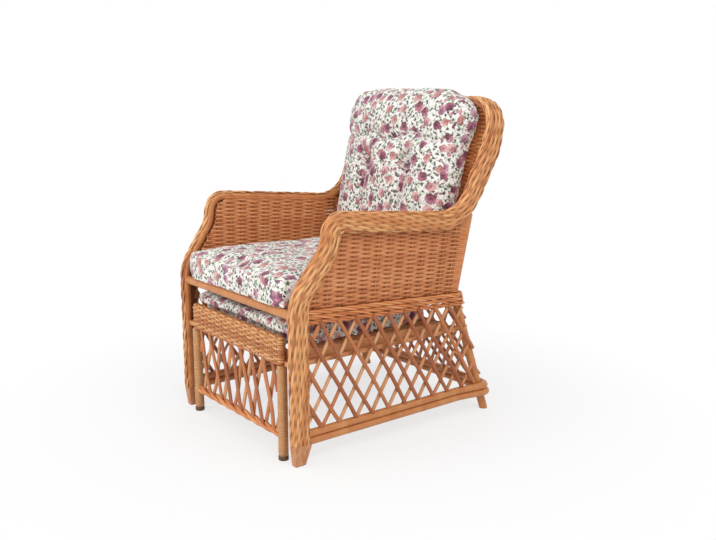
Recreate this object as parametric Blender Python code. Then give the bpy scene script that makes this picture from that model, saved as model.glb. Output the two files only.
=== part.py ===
"""Wicker armchair with a pull-out footrest: metres, +Z up, the front faces -Y.

Sizes are taken from the axis of the front posts (y = 0) and from the floor (z = 0). The last step
moves the whole chair so that its box is centred on the origin.
"""

import math

import bmesh
import bpy
from mathutils import Matrix, Vector

# Clearances
GAP = 0.0003  # between pieces that touch

# Poles
POLE_R = 0.0125
POLE_SIDES = 12
RAIL_R = 0.012
SIDE_RAIL_R = 0.011
LOW_RAIL_R = 0.0105
BEND_STEP = math.radians(9)

# Widths, built outwards from the seat cushion
SEAT_HALF_WIDTH = 0.270
SEAT_SIDE_GAP = 0.0077  # from the cushion to the side panels
PANEL_THICK = 0.008
BAND_INSET = 0.006  # how far the plait reaches inwards behind the pole
POST_FLARE = 0.0025  # front posts, arms and hoop stand out past the rear end of the arms
SLANT_FLARE = 0.013
ARM_FLARE = 0.0165
KNEE_FLARE = 0.008
TOP_FLARE = 0.011
REAR_POST_IN = 0.020  # rear posts stand in at the seat
REAR_SPLAY = 0.018  # and spread to the floor
BACK_SIDE_GAP = 0.027  # from the back cushion to the rear posts' axes
ARM_REAR_X = SEAT_HALF_WIDTH + SEAT_SIDE_GAP + PANEL_THICK + GAP + BAND_INSET
POST_X = ARM_REAR_X + POST_FLARE
SLANT_X = ARM_REAR_X + SLANT_FLARE
ARM_FRONT_X = ARM_REAR_X + ARM_FLARE
BACK_KNEE_X = ARM_REAR_X + KNEE_FLARE
BACK_TOP_X = ARM_REAR_X + TOP_FLARE
REAR_BEND_X = ARM_REAR_X - REAR_POST_IN
REAR_FOOT_X = REAR_BEND_X + REAR_SPLAY
BACK_HALF_WIDTH = REAR_BEND_X - BACK_SIDE_GAP

# Front posts, arms and back hoop
FOOT_HEIGHT = 0.060
POST_BEND_Z = 0.443
POST_BEND_R = 0.10
SLANT_Y = 0.0905  # upper end of the slant, where the pole turns upright
SLANT_Z = 0.5735
SLANT_R = 0.060
ARM_FRONT_Y = 0.1005
ARM_FRONT_Z = 0.6515
ARM_FRONT_R = 0.046
ARM_REAR_Y = 0.5795
ARM_REAR_Z = 0.611
ARM_REAR_R = 0.120
ARM_SPLICE = 0.74  # share of the arm's length where arm pole and hoop meet
BACK_KNEE_Y = 0.6815
BACK_KNEE_Z = 0.812
BACK_KNEE_R = 0.16
BACK_TOP_Y = 0.704
BACK_TOP_Z = 0.9355
BACK_CORNER_R = 0.075

# Plaited border on the outside of the poles
BAND_WIDTH = 0.053
BAND_LIP = 0.0115  # how far it laps over the front of the pole
BAND_OVER = 0.0065  # thickness over the pole
BAND_CROWN = 0.0015
BAND_ROUND = 0.007
BAND_SPLIT_DROP = 0.001  # side and top bands meet this far below the hoop's corner
HOLLOW_FRONT = math.radians(52)  # the pole lies in a hollow of the band between these turns
HOLLOW_REAR = math.radians(-105)
HOLLOW_STEPS = 6

# Rear posts
REAR_FOOT_Y = 0.7065
REAR_BEND_Y = 0.5795
REAR_BEND_Z = 0.392
REAR_BEND_R = 0.10
REAR_POST_TOP_Z = 0.735
REAR_POST_BEHIND = 0.0139  # how far its top lies behind the hoop pole it is nailed to

# Front feet
FOOT_TOP_WIDTH = 0.054
FOOT_TOP_DEEP = 0.032
FOOT_TIP_WIDTH = 0.033
FOOT_TIP_DEEP = 0.020
FOOT_TAPER_FRONT = 0.005
FOOT_TAPER_OUT = 0.009

# Seat frame
SEAT_RAIL_Z = 0.405
SIDE_RAIL_FRONT_Z = 0.398
SIDE_RAIL_REAR_Z = 0.388
SEAT_SLATS = 5
SLAT_WIDTH = 0.045
SLAT_THICK = 0.008
SLAT_MARGIN = 0.060

# Low rails
LOW_RAIL_Z = 0.0605
LOW_RAIL_OVERHANG = 0.012  # past the rear legs' axes at the floor

# Wale bands
WALE_HEIGHT = 0.040
WALE_THICK = 0.013
WALE_ROWS = 3
WALE_SCALLOP = 0.003
WALE_FLAT = 0.4  # share of a row's height at its full thickness
WALE_FRONT_Z = 0.3770
WALE_REAR_Z = 0.3460

# Woven panels
PANEL_DROP = 0.013  # below the pole's axis, where the weave starts
PANEL_THIN = 0.45  # share of the thickness midway between the stakes
PANEL_ROWS = 4
SIDE_STAKES = 14
BACK_STAKES = 13
BACK_LOW_ROWS = 4  # between the rear posts
BACK_HIGH_ROWS = 2  # above them, inside the hoop
BACK_RIM_ROWS = 4  # inside the hoop's corners
BACK_RIM_END = math.radians(74)

# Lattice
ROD_WIDTH = 0.009
ROD_DEEP = 0.008
ROD_SINK = 0.001  # how deep crossed rods are let into each other
ROD_PITCH = 0.0574
ROD_SHIFT = 0.168  # sideways run from the wale down to the low rails
FRONT_ROD_SHIFT = 0.055
SIDE_ROD_LEAD = 0.044  # from the band to the first pair of rods under the wale
SHORTEST_ROD = 0.060

# Footrest
REST_LEG_IN = 0.0585  # from the front posts' axes
REST_LEG_X = POST_X - REST_LEG_IN
REST_Y = 0.0
REST_LEG_R = 0.014
REST_CAP_HEIGHT = 0.012
APRON_OVERHANG = 0.0105  # past the legs' axes
APRON_Z = 0.264
APRON_HEIGHT = 0.076
APRON_THICK = 0.026
REST_RAIL_Z = 0.070
REST_BOARD_WALL = 0.0252
REST_REAR_Y = 0.535
REST_BOARD_Z = 0.2645
REST_BOARD_HEIGHT = 0.036
RUNNER_WIDTH = 0.0302
RUNNER_X = POST_X - POLE_R - GAP - RUNNER_WIDTH
RUNNER_SPARE = 0.0097  # part of the runner's width outside the side board's lip
REST_BOARD_X = RUNNER_X - GAP - REST_BOARD_WALL
RUNNER_THICK = 0.0122
RUNNER_FRONT_Y = -0.002
REST_REAR_RAIL_THICK = 0.018
REST_SLATS = 4
REST_SLAT_WIDTH = 0.050
REST_SLAT_THICK = 0.006
REST_SLAT_MARGIN = 0.070

# Cushions
SEAT_FRONT_Y = -0.0250
SEAT_REAR_Y = 0.560
SEAT_EDGE = 0.076
SEAT_CROWN = 0.022
BACK_HEIGHT = 0.494
BACK_EDGE = 0.085
BACK_CROWN = 0.045
BACK_BASE_Z = 0.487
TUFT_X = 0.385  # shares of the half width and half height
TUFT_HEIGHT = 0.012
ROLL_HEIGHT = 0.36
TUFT_DEPTH = 0.022
CHANNEL_DEPTH = 0.012
ROLL_CREASE_DEPTH = 0.010
CREASE_WIDTH = 0.10
REST_CUSHION_OVERHANG = 0.018  # past the inner faces of the side boards
REST_EDGE = 0.056
REST_CROWN = 0.022
CUSHION_PULL = 0.018  # how far the sides draw in between the corners
CUSHION_BULGE = 0.006
CORNER_POWER = 9

# Finishes: colour, roughness
RATTAN = ((0.58, 0.19, 0.055), 0.42)
WEAVE = ((0.52, 0.175, 0.06), 0.50)
PLAIT = ((0.68, 0.31, 0.095), 0.45)
TIMBER = ((0.42, 0.17, 0.07), 0.55)
CANE_WRAP = ((0.47, 0.26, 0.11), 0.50)
DARK_CAP = ((0.05, 0.035, 0.03), 0.60)
FABRIC = ((0.80, 0.70, 0.69), 0.90)

X_AXIS = Vector((1, 0, 0))
Y_AXIS = Vector((0, 1, 0))


def clear_scene():
    for obj in list(bpy.data.objects):
        bpy.data.objects.remove(obj)


def make_material(name, finish):
    colour, roughness = finish
    material = bpy.data.materials.new(name)
    material.use_nodes = True
    shader = material.node_tree.nodes["Principled BSDF"]
    shader.inputs["Base Color"].default_value = (*colour, 1)
    shader.inputs["Roughness"].default_value = roughness
    shader.inputs["Metallic"].default_value = 0
    return material


def add_empty(name, parent, place):
    empty = bpy.data.objects.new(name, None)
    bpy.context.collection.objects.link(empty)
    empty.parent = parent
    empty.location = place
    return empty


def add_piece(name, data, carrier, finish):
    """One node: its shape is drawn in the chair's frame, so it undoes its carrier's offset."""
    piece = bpy.data.objects.new(name, data)
    bpy.context.collection.objects.link(piece)
    piece.parent = carrier
    if carrier.parent:
        piece.location = -carrier.location
    data.materials.append(make_material(name + "_finish", finish))
    return piece


def mesh_of(bm, name, sharp=35):
    bmesh.ops.recalc_face_normals(bm, faces=bm.faces)
    mesh = bpy.data.meshes.new(name)
    bm.to_mesh(mesh)
    bm.free()
    mesh.shade_smooth()
    mesh.set_sharp_from_angle(angle=math.radians(sharp))
    return mesh


def mirrored(points):
    return [Vector((-p.x, p.y, p.z)) for p in points]


def bend_reaches(corners):
    """How far each bend reaches along its runs, drawn back where two bends would meet."""
    places = [place for place, _ in corners]
    reaches = [0.0]
    for before, (corner, radius), after in zip(places, corners[1:], places[2:]):
        reaches.append(radius * math.tan((corner - before).angle(after - corner) / 2))
    reaches.append(0.0)
    for i in range(len(places) - 1):
        share = (places[i + 1] - places[i]).length / max(reaches[i] + reaches[i + 1], GAP)
        if share < 1:
            reaches[i] *= share
            reaches[i + 1] *= share
    return reaches


def filleted(corners):
    """Points along straight runs whose corners, given with a radius each, become arcs."""
    points = [corners[0][0]]
    places = [place for place, _ in corners]
    runs = zip(places, places[1:], places[2:], bend_reaches(corners)[1:])
    for before, corner, after, reach in runs:
        into = (corner - before).normalized()
        out = (after - corner).normalized()
        turn = into.angle(out)
        radius = reach / math.tan(turn / 2)
        start = corner - into * reach
        arm = (into * out.dot(into) - out).normalized() * radius
        count = max(2, round(turn / BEND_STEP))
        for i in range(count + 1):
            angle = turn * i / count
            points.append(start - arm + arm * math.cos(angle) + into * radius * math.sin(angle))
    points.append(corners[-1][0])
    return points


def tangents(path):
    ways = [(b - a).normalized() for a, b in zip(path, path[1:])]
    middle = [(a + b).normalized() for a, b in zip(ways, ways[1:])]
    return [ways[0], *middle, ways[-1]]


def swept_rings(bm, profile, path, outward):
    """Rings of a profile of (outward, forward) pairs, carried square to the path."""
    rings = []
    for point, along, out in zip(path, tangents(path), outward):
        across = (out - along * out.dot(along)).normalized()
        forward = across.cross(along)
        rings.append([bm.verts.new(point + across * a + forward * b) for a, b in profile])
    return rings


def skin_rings(bm, rings):
    for ring, after in zip(rings, rings[1:]):
        for i in range(len(ring)):
            bm.faces.new((ring[i - 1], ring[i], after[i], after[i - 1]))
    bm.faces.new(rings[0])
    bm.faces.new(rings[-1])


def swept(name, profile, path, outward):
    bm = bmesh.new()
    skin_rings(bm, swept_rings(bm, profile, path, outward))
    return mesh_of(bm, name)


def circle(radius, sides=POLE_SIDES):
    turns = [2 * math.pi * i / sides for i in range(sides)]
    return [(radius * math.cos(a), radius * math.sin(a)) for a in turns]


def pole(name, path, radius):
    """Round pole as a bevelled curve with filled ends."""
    curve = bpy.data.curves.new(name, "CURVE")
    curve.dimensions = "3D"
    curve.bevel_depth = radius
    curve.bevel_resolution = (POLE_SIDES - 4) // 2
    curve.use_fill_caps = True
    spline = curve.splines.new("POLY")
    spline.points.add(len(path) - 1)
    for point, place in zip(spline.points, path):
        point.co = (*place, 1)
    return curve


def block(name, low, high, bevel=0.0):
    bm = bmesh.new()
    low, high = Vector(low), Vector(high)
    size = high - low
    place = Matrix.Translation((low + high) / 2) @ Matrix.Diagonal((*size, 1))
    bmesh.ops.create_cube(bm, size=1, matrix=place)
    if bevel:
        bmesh.ops.bevel(bm, geom=bm.edges[:], offset=bevel, segments=1, affect="EDGES")
    return mesh_of(bm, name)


def extruded(name, outline, along, start, end):
    """Solid of a flat outline of points, moved from one place to another along an axis."""
    bm = bmesh.new()
    rings = [[bm.verts.new(p + along * s) for p in outline] for s in (start, end)]
    skin_rings(bm, rings)
    return mesh_of(bm, name)


def sheet(name, rows, half):
    """Closed woven sheet over a grid of points, with half its thickness to each side.

    It swells over the stakes, which stand in every second column, and is thinner between them.
    """
    bm = bmesh.new()
    swell = [1 if i % 2 else PANEL_THIN for i in range(len(rows[0]))]
    faces = []
    for side in (-1, 1):
        grid = []
        for row in rows:
            grid.append([bm.verts.new(p + half * side * share) for p, share in zip(row, swell)])
        faces.append(grid)
    for grid in faces:
        for row, after in zip(grid, grid[1:]):
            for i in range(len(row) - 1):
                bm.faces.new((row[i], row[i + 1], after[i + 1], after[i]))
    rims = []
    for grid in faces:
        right = [row[-1] for row in grid[1:-1]]
        left = [row[0] for row in grid[1:-1]]
        rims.append(grid[0] + right + grid[-1][::-1] + left[::-1])
    for i in range(len(rims[0])):
        bm.faces.new((rims[0][i - 1], rims[0][i], rims[1][i], rims[1][i - 1]))
    return mesh_of(bm, name)


def arm_corners():
    """Corners of the right arm line, with the radius of the bend at each."""
    return [
        (Vector((POST_X, 0, FOOT_HEIGHT + GAP)), 0),
        (Vector((POST_X, 0, POST_BEND_Z)), POST_BEND_R),
        (Vector((SLANT_X, SLANT_Y, SLANT_Z)), SLANT_R),
        (Vector((ARM_FRONT_X, ARM_FRONT_Y, ARM_FRONT_Z)), ARM_FRONT_R),
        (Vector((ARM_REAR_X, ARM_REAR_Y, ARM_REAR_Z)), ARM_REAR_R),
        (Vector((BACK_KNEE_X, BACK_KNEE_Y, BACK_KNEE_Z)), BACK_KNEE_R),
        (Vector((BACK_TOP_X, BACK_TOP_Y, BACK_TOP_Z)), BACK_CORNER_R),
    ]


def splice():
    """Point on the right arm where the arm pole ends and the back hoop starts, and the way back."""
    front, rear = arm_corners()[3][0], arm_corners()[4][0]
    return front.lerp(rear, ARM_SPLICE), (rear - front).normalized()


def rear_post_top():
    """Top of the right rear post, nailed to the inner side of the hoop pole."""
    low, knee = arm_corners()[4][0], arm_corners()[5][0]
    hoop = low.lerp(knee, (REAR_POST_TOP_Z - low.z) / (knee.z - low.z))
    beside = math.sqrt((2 * (POLE_R + GAP)) ** 2 - REAR_POST_BEHIND**2)
    behind = REAR_POST_BEHIND / (knee - low).normalized().z
    return hoop + Vector((-beside, behind, 0))


def back_slope():
    """How far the back leans for each unit of height, along the rear posts."""
    return (rear_post_top().y - REAR_BEND_Y) / (REAR_POST_TOP_Z - REAR_BEND_Z)


def back_lean(z):
    """Y of the back's plane, through the axes of the rear posts."""
    return REAR_BEND_Y + back_slope() * (z - REAR_BEND_Z)


def leg_axis(z):
    """Axis of the right rear leg below the seat bend."""
    fall = (REAR_BEND_Z - z) / REAR_BEND_Z
    x = REAR_BEND_X + (REAR_FOOT_X - REAR_BEND_X) * fall
    return Vector((x, REAR_BEND_Y + (REAR_FOOT_Y - REAR_BEND_Y) * fall, z))


def leg_level():
    """Length along a level line for each unit square to the rear leg's slant."""
    return math.hypot(1, (REAR_FOOT_Y - REAR_BEND_Y) / REAR_BEND_Z)


def leg_half_depth():
    """Half the rear leg's depth, cut level."""
    return POLE_R * leg_level()


def arm_poles(chair):
    corners = arm_corners()
    place, way = splice()
    path = filleted([*corners[:4], (place - way * GAP, 0)])
    add_piece("arm_pole_right", pole("arm_pole_right", path, POLE_R), chair, RATTAN)
    add_piece("arm_pole_left", pole("arm_pole_left", mirrored(path), POLE_R), chair, RATTAN)


def back_hoop(chair):
    place, _ = splice()
    right = [(place, 0), *arm_corners()[4:]]
    left = [(Vector((-p.x, p.y, p.z)), radius) for p, radius in reversed(right)]
    add_piece("back_hoop_pole", pole("back_hoop_pole", filleted(right + left), POLE_R), chair, RATTAN)


def band_profile():
    """Cross-section of the plait, as (outward, forward) from the pole's axis, hollowed for the pole."""
    outer = POLE_R + BAND_OVER
    back = BAND_LIP - BAND_WIDTH
    step = (HOLLOW_REAR - HOLLOW_FRONT) / HOLLOW_STEPS
    reach = (POLE_R + GAP) / math.cos(step / 2)
    turns = [HOLLOW_FRONT + step * i for i in range(HOLLOW_STEPS + 1)]
    hollow = [(reach * math.cos(a), reach * math.sin(a)) for a in turns]
    return [
        *hollow,
        (-BAND_INSET, -reach - BAND_OVER / 2),
        (-BAND_INSET, back + BAND_ROUND / 2),
        (-BAND_INSET + BAND_ROUND / 2, back),
        (outer - BAND_ROUND, back),
        (outer, back + BAND_ROUND),
        (outer + BAND_CROWN, (back + BAND_LIP) / 2),
        (outer, BAND_LIP - BAND_ROUND),
        (outer - BAND_ROUND / 2, BAND_LIP),
    ]


def border(chair):
    corners = arm_corners()
    corner_z = BACK_TOP_Z - BACK_CORNER_R - BAND_SPLIT_DROP
    knee, top = corners[5][0], corners[6][0]
    split = knee.lerp(top, (corner_z - knee.z) / (top.z - knee.z))
    up = (top - knee).normalized()
    path = filleted([*corners[:6], (split - up * GAP, 0)])
    mesh = swept("border_right", band_profile(), path, [X_AXIS] * len(path))
    add_piece("border_right", mesh, chair, PLAIT)
    bm = bmesh.new()
    bm.from_mesh(mesh)
    bmesh.ops.scale(bm, vec=(-1, 1, 1), verts=bm.verts)
    add_piece("border_left", mesh_of(bm, "border_left"), chair, PLAIT)
    right = [(split, 0), corners[6]]
    left = [(Vector((-p.x, p.y, p.z)), radius) for p, radius in reversed(right)]
    path = filleted(right + left)
    facing = up.cross(X_AXIS).normalized()
    outward = [along.cross(-facing) for along in tangents(path)]
    add_piece("border_top", swept("border_top", band_profile(), path, outward), chair, PLAIT)


def rear_posts(chair):
    corners = [
        (leg_axis(0), 0),
        (leg_axis(REAR_BEND_Z), REAR_BEND_R),
        (rear_post_top(), 0),
    ]
    for name, side in (("rear_post_right", 1), ("rear_post_left", -1)):
        path = [Vector((p.x * side, p.y, p.z)) for p in filleted(corners)]
        bm = bmesh.new()
        rings = swept_rings(bm, circle(POLE_R), path, [X_AXIS] * len(path))
        down = (path[0] - path[1]).normalized()
        for vert in rings[0]:
            vert.co -= down * (vert.co.z / down.z)
        skin_rings(bm, rings)
        add_piece(name, mesh_of(bm, name), chair, RATTAN)


def front_feet(chair):
    outer = POST_X + POLE_R + BAND_OVER
    front = -BAND_LIP
    for name, side in (("front_foot_right", 1), ("front_foot_left", -1)):
        bm = bmesh.new()
        rings = []
        sizes = (
            (0, outer - FOOT_TAPER_OUT, FOOT_TIP_DEEP, front + FOOT_TAPER_FRONT, FOOT_TIP_WIDTH),
            (FOOT_HEIGHT, outer, FOOT_TOP_DEEP, front, FOOT_TOP_WIDTH),
        )
        for z, out, deep, fore, width in sizes:
            plan = ((out, fore), (out, fore + width), (out - deep, fore + width), (out - deep, fore))
            rings.append([bm.verts.new((x * side, y, z)) for x, y in plan])
        skin_rings(bm, rings)
        add_piece(name, mesh_of(bm, name), chair, TIMBER)


def side_rail_z(y):
    """Axis height of the seat's side rails, which fall towards the back."""
    return SIDE_RAIL_FRONT_Z + (SIDE_RAIL_REAR_Z - SIDE_RAIL_FRONT_Z) * y / REAR_BEND_Y


def seat_frame(chair):
    half = POST_X - POLE_R - GAP
    path = [Vector((-half, 0, SEAT_RAIL_Z)), Vector((half, 0, SEAT_RAIL_Z))]
    add_piece("seat_front_rail", pole("seat_front_rail", path, RAIL_R), chair, RATTAN)
    half = REAR_BEND_X - POLE_R - GAP
    rear_y = back_lean(SIDE_RAIL_REAR_Z)
    path = [Vector((side * half, rear_y, SIDE_RAIL_REAR_Z)) for side in (-1, 1)]
    add_piece("seat_rear_rail", pole("seat_rear_rail", path, RAIL_R), chair, RATTAN)
    front = RAIL_R + GAP
    rear = REAR_BEND_Y - POLE_R - 2 * GAP
    x = panel_inner() - SIDE_RAIL_R - GAP
    path = [Vector((x, y, side_rail_z(y))) for y in (front, rear)]
    for name, points in (("seat_side_rail_right", path), ("seat_side_rail_left", mirrored(path))):
        add_piece(name, pole(name, points, SIDE_RAIL_R), chair, RATTAN)


def slat_base(y):
    return side_rail_z(y) + SIDE_RAIL_R + GAP


def seat_slats(chair):
    half = panel_inner() - GAP
    span = REAR_BEND_Y - 2 * SLAT_MARGIN
    for i in range(SEAT_SLATS):
        y = SLAT_MARGIN + span * i / (SEAT_SLATS - 1)
        base = slat_base(y - SLAT_WIDTH / 2)
        name = f"seat_slat_{i + 1}"
        low = (-half, y - SLAT_WIDTH / 2, base)
        high = (half, y + SLAT_WIDTH / 2, base + SLAT_THICK)
        add_piece(name, block(name, low, high), chair, TIMBER)


def low_rails(chair):
    step = 2 * LOW_RAIL_R + GAP
    x = wale_inner() + ROD_DEEP - ROD_SINK / 2
    front = max(FOOT_TOP_WIDTH, BAND_WIDTH) - BAND_LIP + GAP
    reach = REAR_FOOT_X + LOW_RAIL_OVERHANG
    for level, z in (("lower", LOW_RAIL_Z), ("upper", LOW_RAIL_Z + step)):
        rear = leg_axis(z + LOW_RAIL_R).y - leg_half_depth() - GAP
        path = [Vector((x, front, z)), Vector((x, rear, z))]
        for side, points in (("right", path), ("left", mirrored(path))):
            name = f"bottom_rail_{side}_{level}"
            add_piece(name, pole(name, points, LOW_RAIL_R), chair, RATTAN)
        behind = leg_axis(z).y + (POLE_R + LOW_RAIL_R + GAP) * leg_level()
        path = [Vector((side * reach, behind, z)) for side in (-1, 1)]
        name = f"bottom_rail_rear_{level}"
        add_piece(name, pole(name, path, LOW_RAIL_R), chair, RATTAN)


def wale_inner():
    """Inner face of the side wales, just outside the rear posts."""
    return leg_axis(wale_back_base()).x + POLE_R + GAP


def wale_low(y):
    """Lower edge of the side wale."""
    return WALE_FRONT_Z + (WALE_REAR_Z - WALE_FRONT_Z) * y / REAR_BEND_Y


def wale_back_base():
    """Lower edge of the wale across the back."""
    return wale_low(REAR_BEND_Y + 2 * POLE_R)


def wale_section():
    """(outward, up) outline of the wale: a flat back and one swell for each row."""
    points = [(0, WALE_HEIGHT), (0, 0)]
    row = WALE_HEIGHT / WALE_ROWS
    slope = (1 - WALE_FLAT) / 2
    for i in range(WALE_ROWS):
        points.append((WALE_THICK - WALE_SCALLOP, row * i))
        points.append((WALE_THICK, row * (i + slope)))
        points.append((WALE_THICK, row * (i + 1 - slope)))
    points.append((WALE_THICK - WALE_SCALLOP, WALE_HEIGHT))
    return points


def wales(chair):
    front = BAND_WIDTH - BAND_LIP + GAP
    drop = max(SIDE_RAIL_REAR_Z - wale_back_base() - WALE_HEIGHT, 0)
    beside = math.sqrt(max((RAIL_R + GAP) ** 2 - drop**2, 0))
    behind = back_lean(SIDE_RAIL_REAR_Z) + beside
    inner = wale_inner()
    for name, side in (("wale_right", 1), ("wale_left", -1)):
        bm = bmesh.new()
        rings = []
        for y in (front, behind + WALE_THICK):
            ring = [(side * (inner + out), y, wale_low(y) + up) for out, up in wale_section()]
            rings.append([bm.verts.new(p) for p in ring])
        skin_rings(bm, rings)
        add_piece(name, mesh_of(bm, name), chair, WEAVE)
    half = REAR_BEND_X - POLE_R - GAP
    base = wale_back_base()
    outline = [Vector((0, behind + out, base + up)) for out, up in wale_section()]
    add_piece("wale_back", extruded("wale_back", outline, X_AXIS, -half, half), chair, WEAVE)


def panel_inner():
    """Innermost reach of the side panels."""
    return min(POST_X, ARM_REAR_X) - BAND_INSET - PANEL_THICK - GAP


def panel_x(y, z):
    """Middle of the right side panel: upright below, leaning out with the arm above the post's bend."""
    share = min(max((y - ARM_FRONT_Y) / (ARM_REAR_Y - ARM_FRONT_Y), 0), 1)
    spread = ARM_FRONT_X + (ARM_REAR_X - ARM_FRONT_X) * share - POST_X
    rise = min(max((z - POST_BEND_Z) / (ARM_FRONT_Z - POST_BEND_Z), 0), 1)
    inset = BAND_INSET + GAP + PANEL_THICK / 2
    return POST_X + spread * (rise if spread > 0 else 1) - inset


def rear_post_front(z):
    """Y of the rear post's front face."""
    return back_lean(z) - POLE_R * math.hypot(1, back_slope()) - 2 * GAP


def side_panel_edge():
    """Upper edge of the right side panel, under the arm line and back to the rear post."""
    path = filleted(arm_corners()[:6])
    edge = []
    for point, along in zip(path, tangents(path)):
        spot = point - X_AXIS.cross(along).normalized() * PANEL_DROP
        if spot.z > wale_low(0) + WALE_HEIGHT and spot.y < rear_post_front(spot.z):
            edge.append(spot)
    last_z = edge[-1].z + (edge[-1].z - edge[-2].z) / 2
    edge.append(Vector((edge[-1].x, rear_post_front(last_z), last_z)))
    return edge


def height_on(edge, y):
    """Height of an edge that runs from front to back."""
    for a, b in zip(edge, edge[1:]):
        if a.y <= y <= b.y and b.y > a.y:
            return a.z + (b.z - a.z) * (y - a.y) / (b.y - a.y)
    return edge[-1].z


def side_panel_rows():
    """Grid of the right side panel: its stakes fan out from the wale up to the arm line."""
    edge = side_panel_edge()
    front = edge[0].y
    low_rear = rear_post_front(wale_low(REAR_BEND_Y) + WALE_HEIGHT)
    columns = []
    for i in range(2 * SIDE_STAKES + 1):
        share = i / (2 * SIDE_STAKES)
        y = front + (low_rear - front) * share
        low = Vector((0, y, wale_low(y) + WALE_HEIGHT + GAP))
        y = front + (edge[-1].y - front) * share
        columns.append((low, Vector((0, y, height_on(edge, y)))))
    rows = []
    for i in range(PANEL_ROWS + 1):
        spots = [low.lerp(high, i / PANEL_ROWS) for low, high in columns]
        rows.append([Vector((panel_x(spot.y, spot.z), spot.y, spot.z)) for spot in spots])
    return rows


def side_panels(chair):
    rows = side_panel_rows()
    half = X_AXIS * PANEL_THICK / 2
    add_piece("side_panel_right", sheet("side_panel_right", rows, half), chair, WEAVE)
    rows = [mirrored(row) for row in rows]
    add_piece("side_panel_left", sheet("side_panel_left", rows, half), chair, WEAVE)


def hoop_x(z):
    """X of the hoop pole on the right, below its top corner."""
    low, knee, top = [place for place, _ in arm_corners()[4:]]
    if z < knee.z:
        return low.x + (knee.x - low.x) * (z - low.z) / (knee.z - low.z)
    return knee.x + (top.x - knee.x) * (z - knee.z) / (top.z - knee.z)


def back_panel_half(z):
    """Half width of the back panel: between the rear posts, then inside the hoop."""
    post_top = rear_post_top()
    inside = POLE_R + GAP
    if z < REAR_POST_TOP_Z + POLE_R + GAP:
        rise = (z - REAR_BEND_Z) / (REAR_POST_TOP_Z - REAR_BEND_Z)
        narrow = min(rise, 1) * (post_top.x - REAR_BEND_X)
        return REAR_BEND_X + narrow - inside - GAP
    straight = BACK_TOP_Z - BACK_CORNER_R
    radius = BACK_CORNER_R - inside
    over = min(max(z - straight, 0), radius)
    middle = hoop_x(min(z, straight)) - BACK_CORNER_R
    return middle + math.sqrt(radius**2 - over**2) - 2 * GAP


def back_panel(chair):
    base = SIDE_RAIL_REAR_Z + RAIL_R + GAP
    post_top = REAR_POST_TOP_Z + POLE_R
    straight = BACK_TOP_Z - BACK_CORNER_R
    heights = [base + (post_top - base) * i / BACK_LOW_ROWS for i in range(BACK_LOW_ROWS + 1)]
    start = post_top + POLE_R
    heights += [start + (straight - start) * i / BACK_HIGH_ROWS for i in range(BACK_HIGH_ROWS + 1)]
    rim = BACK_CORNER_R - POLE_R - GAP
    turns = [BACK_RIM_END * (i + 1) / BACK_RIM_ROWS for i in range(BACK_RIM_ROWS)]
    heights += [straight + rim * math.sin(turn) for turn in turns]
    rows = []
    for z in heights:
        half = back_panel_half(z)
        shares = [i / BACK_STAKES - 1 for i in range(2 * BACK_STAKES + 1)]
        rows.append([Vector((half * share, back_lean(z), z)) for share in shares])
    mesh = sheet("back_panel", rows, Y_AXIS * PANEL_THICK / 2)
    add_piece("back_panel", mesh, chair, WEAVE)


def clipped(outline, line_point, inward):
    """Part of a flat outline that lies on the inner side of a line."""
    kept = []
    for a, b in zip(outline, outline[1:] + outline[:1]):
        away_a = (a - line_point).dot(inward)
        away_b = (b - line_point).dot(inward)
        if away_a >= 0:
            kept.append(a)
        if away_a * away_b < 0:
            kept.append(a.lerp(b, away_a / (away_a - away_b)))
    return kept


def rod_outlines(region, shift, lead, inset):
    """Outlines of parallel rods in a flat region, given by its low start, low end and the two above.

    The rods start along the region's upper edge, the first one by lead, and run sideways by shift.
    """
    low, _, high_end, high = region
    slope = (high_end.y - high.y) / (high_end.x - high.x)
    spare = math.ceil(abs(shift) / ROD_PITCH)
    count = math.ceil((max(p.x for p in region) - high.x) / ROD_PITCH)
    rods = []
    for i in range(-spare, count + spare):
        x = high.x + lead + ROD_PITCH * i
        head = Vector((x, high.y + slope * (x - high.x)))
        run = head - Vector((x + shift, low.y))
        half = Vector((ROD_WIDTH / 2 * run.length / run.y, 0))
        head += run.normalized() * ROD_PITCH
        foot = head - run.normalized() * (run.length + 2 * ROD_PITCH)
        rod = [foot - half, foot + half, head + half, head - half]
        for a, b in zip(region, region[1:] + region[:1]):
            inward = Vector((a.y - b.y, b.x - a.x)).normalized()
            rod = clipped(rod, a + inward * inset, inward) if rod else rod
        if rod and max(p.y for p in rod) - min(p.y for p in rod) > SHORTEST_ROD:
            rods.append(rod)
    return rods


def rod_layer(name, rods, place, start):
    """Closed bars of one layer, as one mesh; place turns (along, up, deep) into the chair's frame."""
    bm = bmesh.new()
    for rod in rods:
        rings = []
        for deep in (start, start + ROD_DEEP):
            rings.append([bm.verts.new(place(p.x, p.y, deep)) for p in rod])
        skin_rings(bm, rings)
    return mesh_of(bm, name)


def lattice(name, carrier, region, shift, lead, place):
    """Two crossed layers of rods let into each other, joined into one panel."""
    first = rod_outlines(region, shift, lead, GAP)
    second = rod_outlines(region, -shift, lead, 2 * GAP)
    panel = add_piece(name, rod_layer(name, first, place, 0), carrier, RATTAN)
    inner = rod_layer(name + "_inner", second, place, ROD_DEEP - ROD_SINK)
    layer = add_piece(name + "_inner", inner, carrier, RATTAN)
    layer.hide_render = True
    layer.display_type = "WIRE"
    join = panel.modifiers.new("join", "BOOLEAN")
    join.operation = "UNION"
    join.solver = "EXACT"
    join.object = layer


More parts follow.
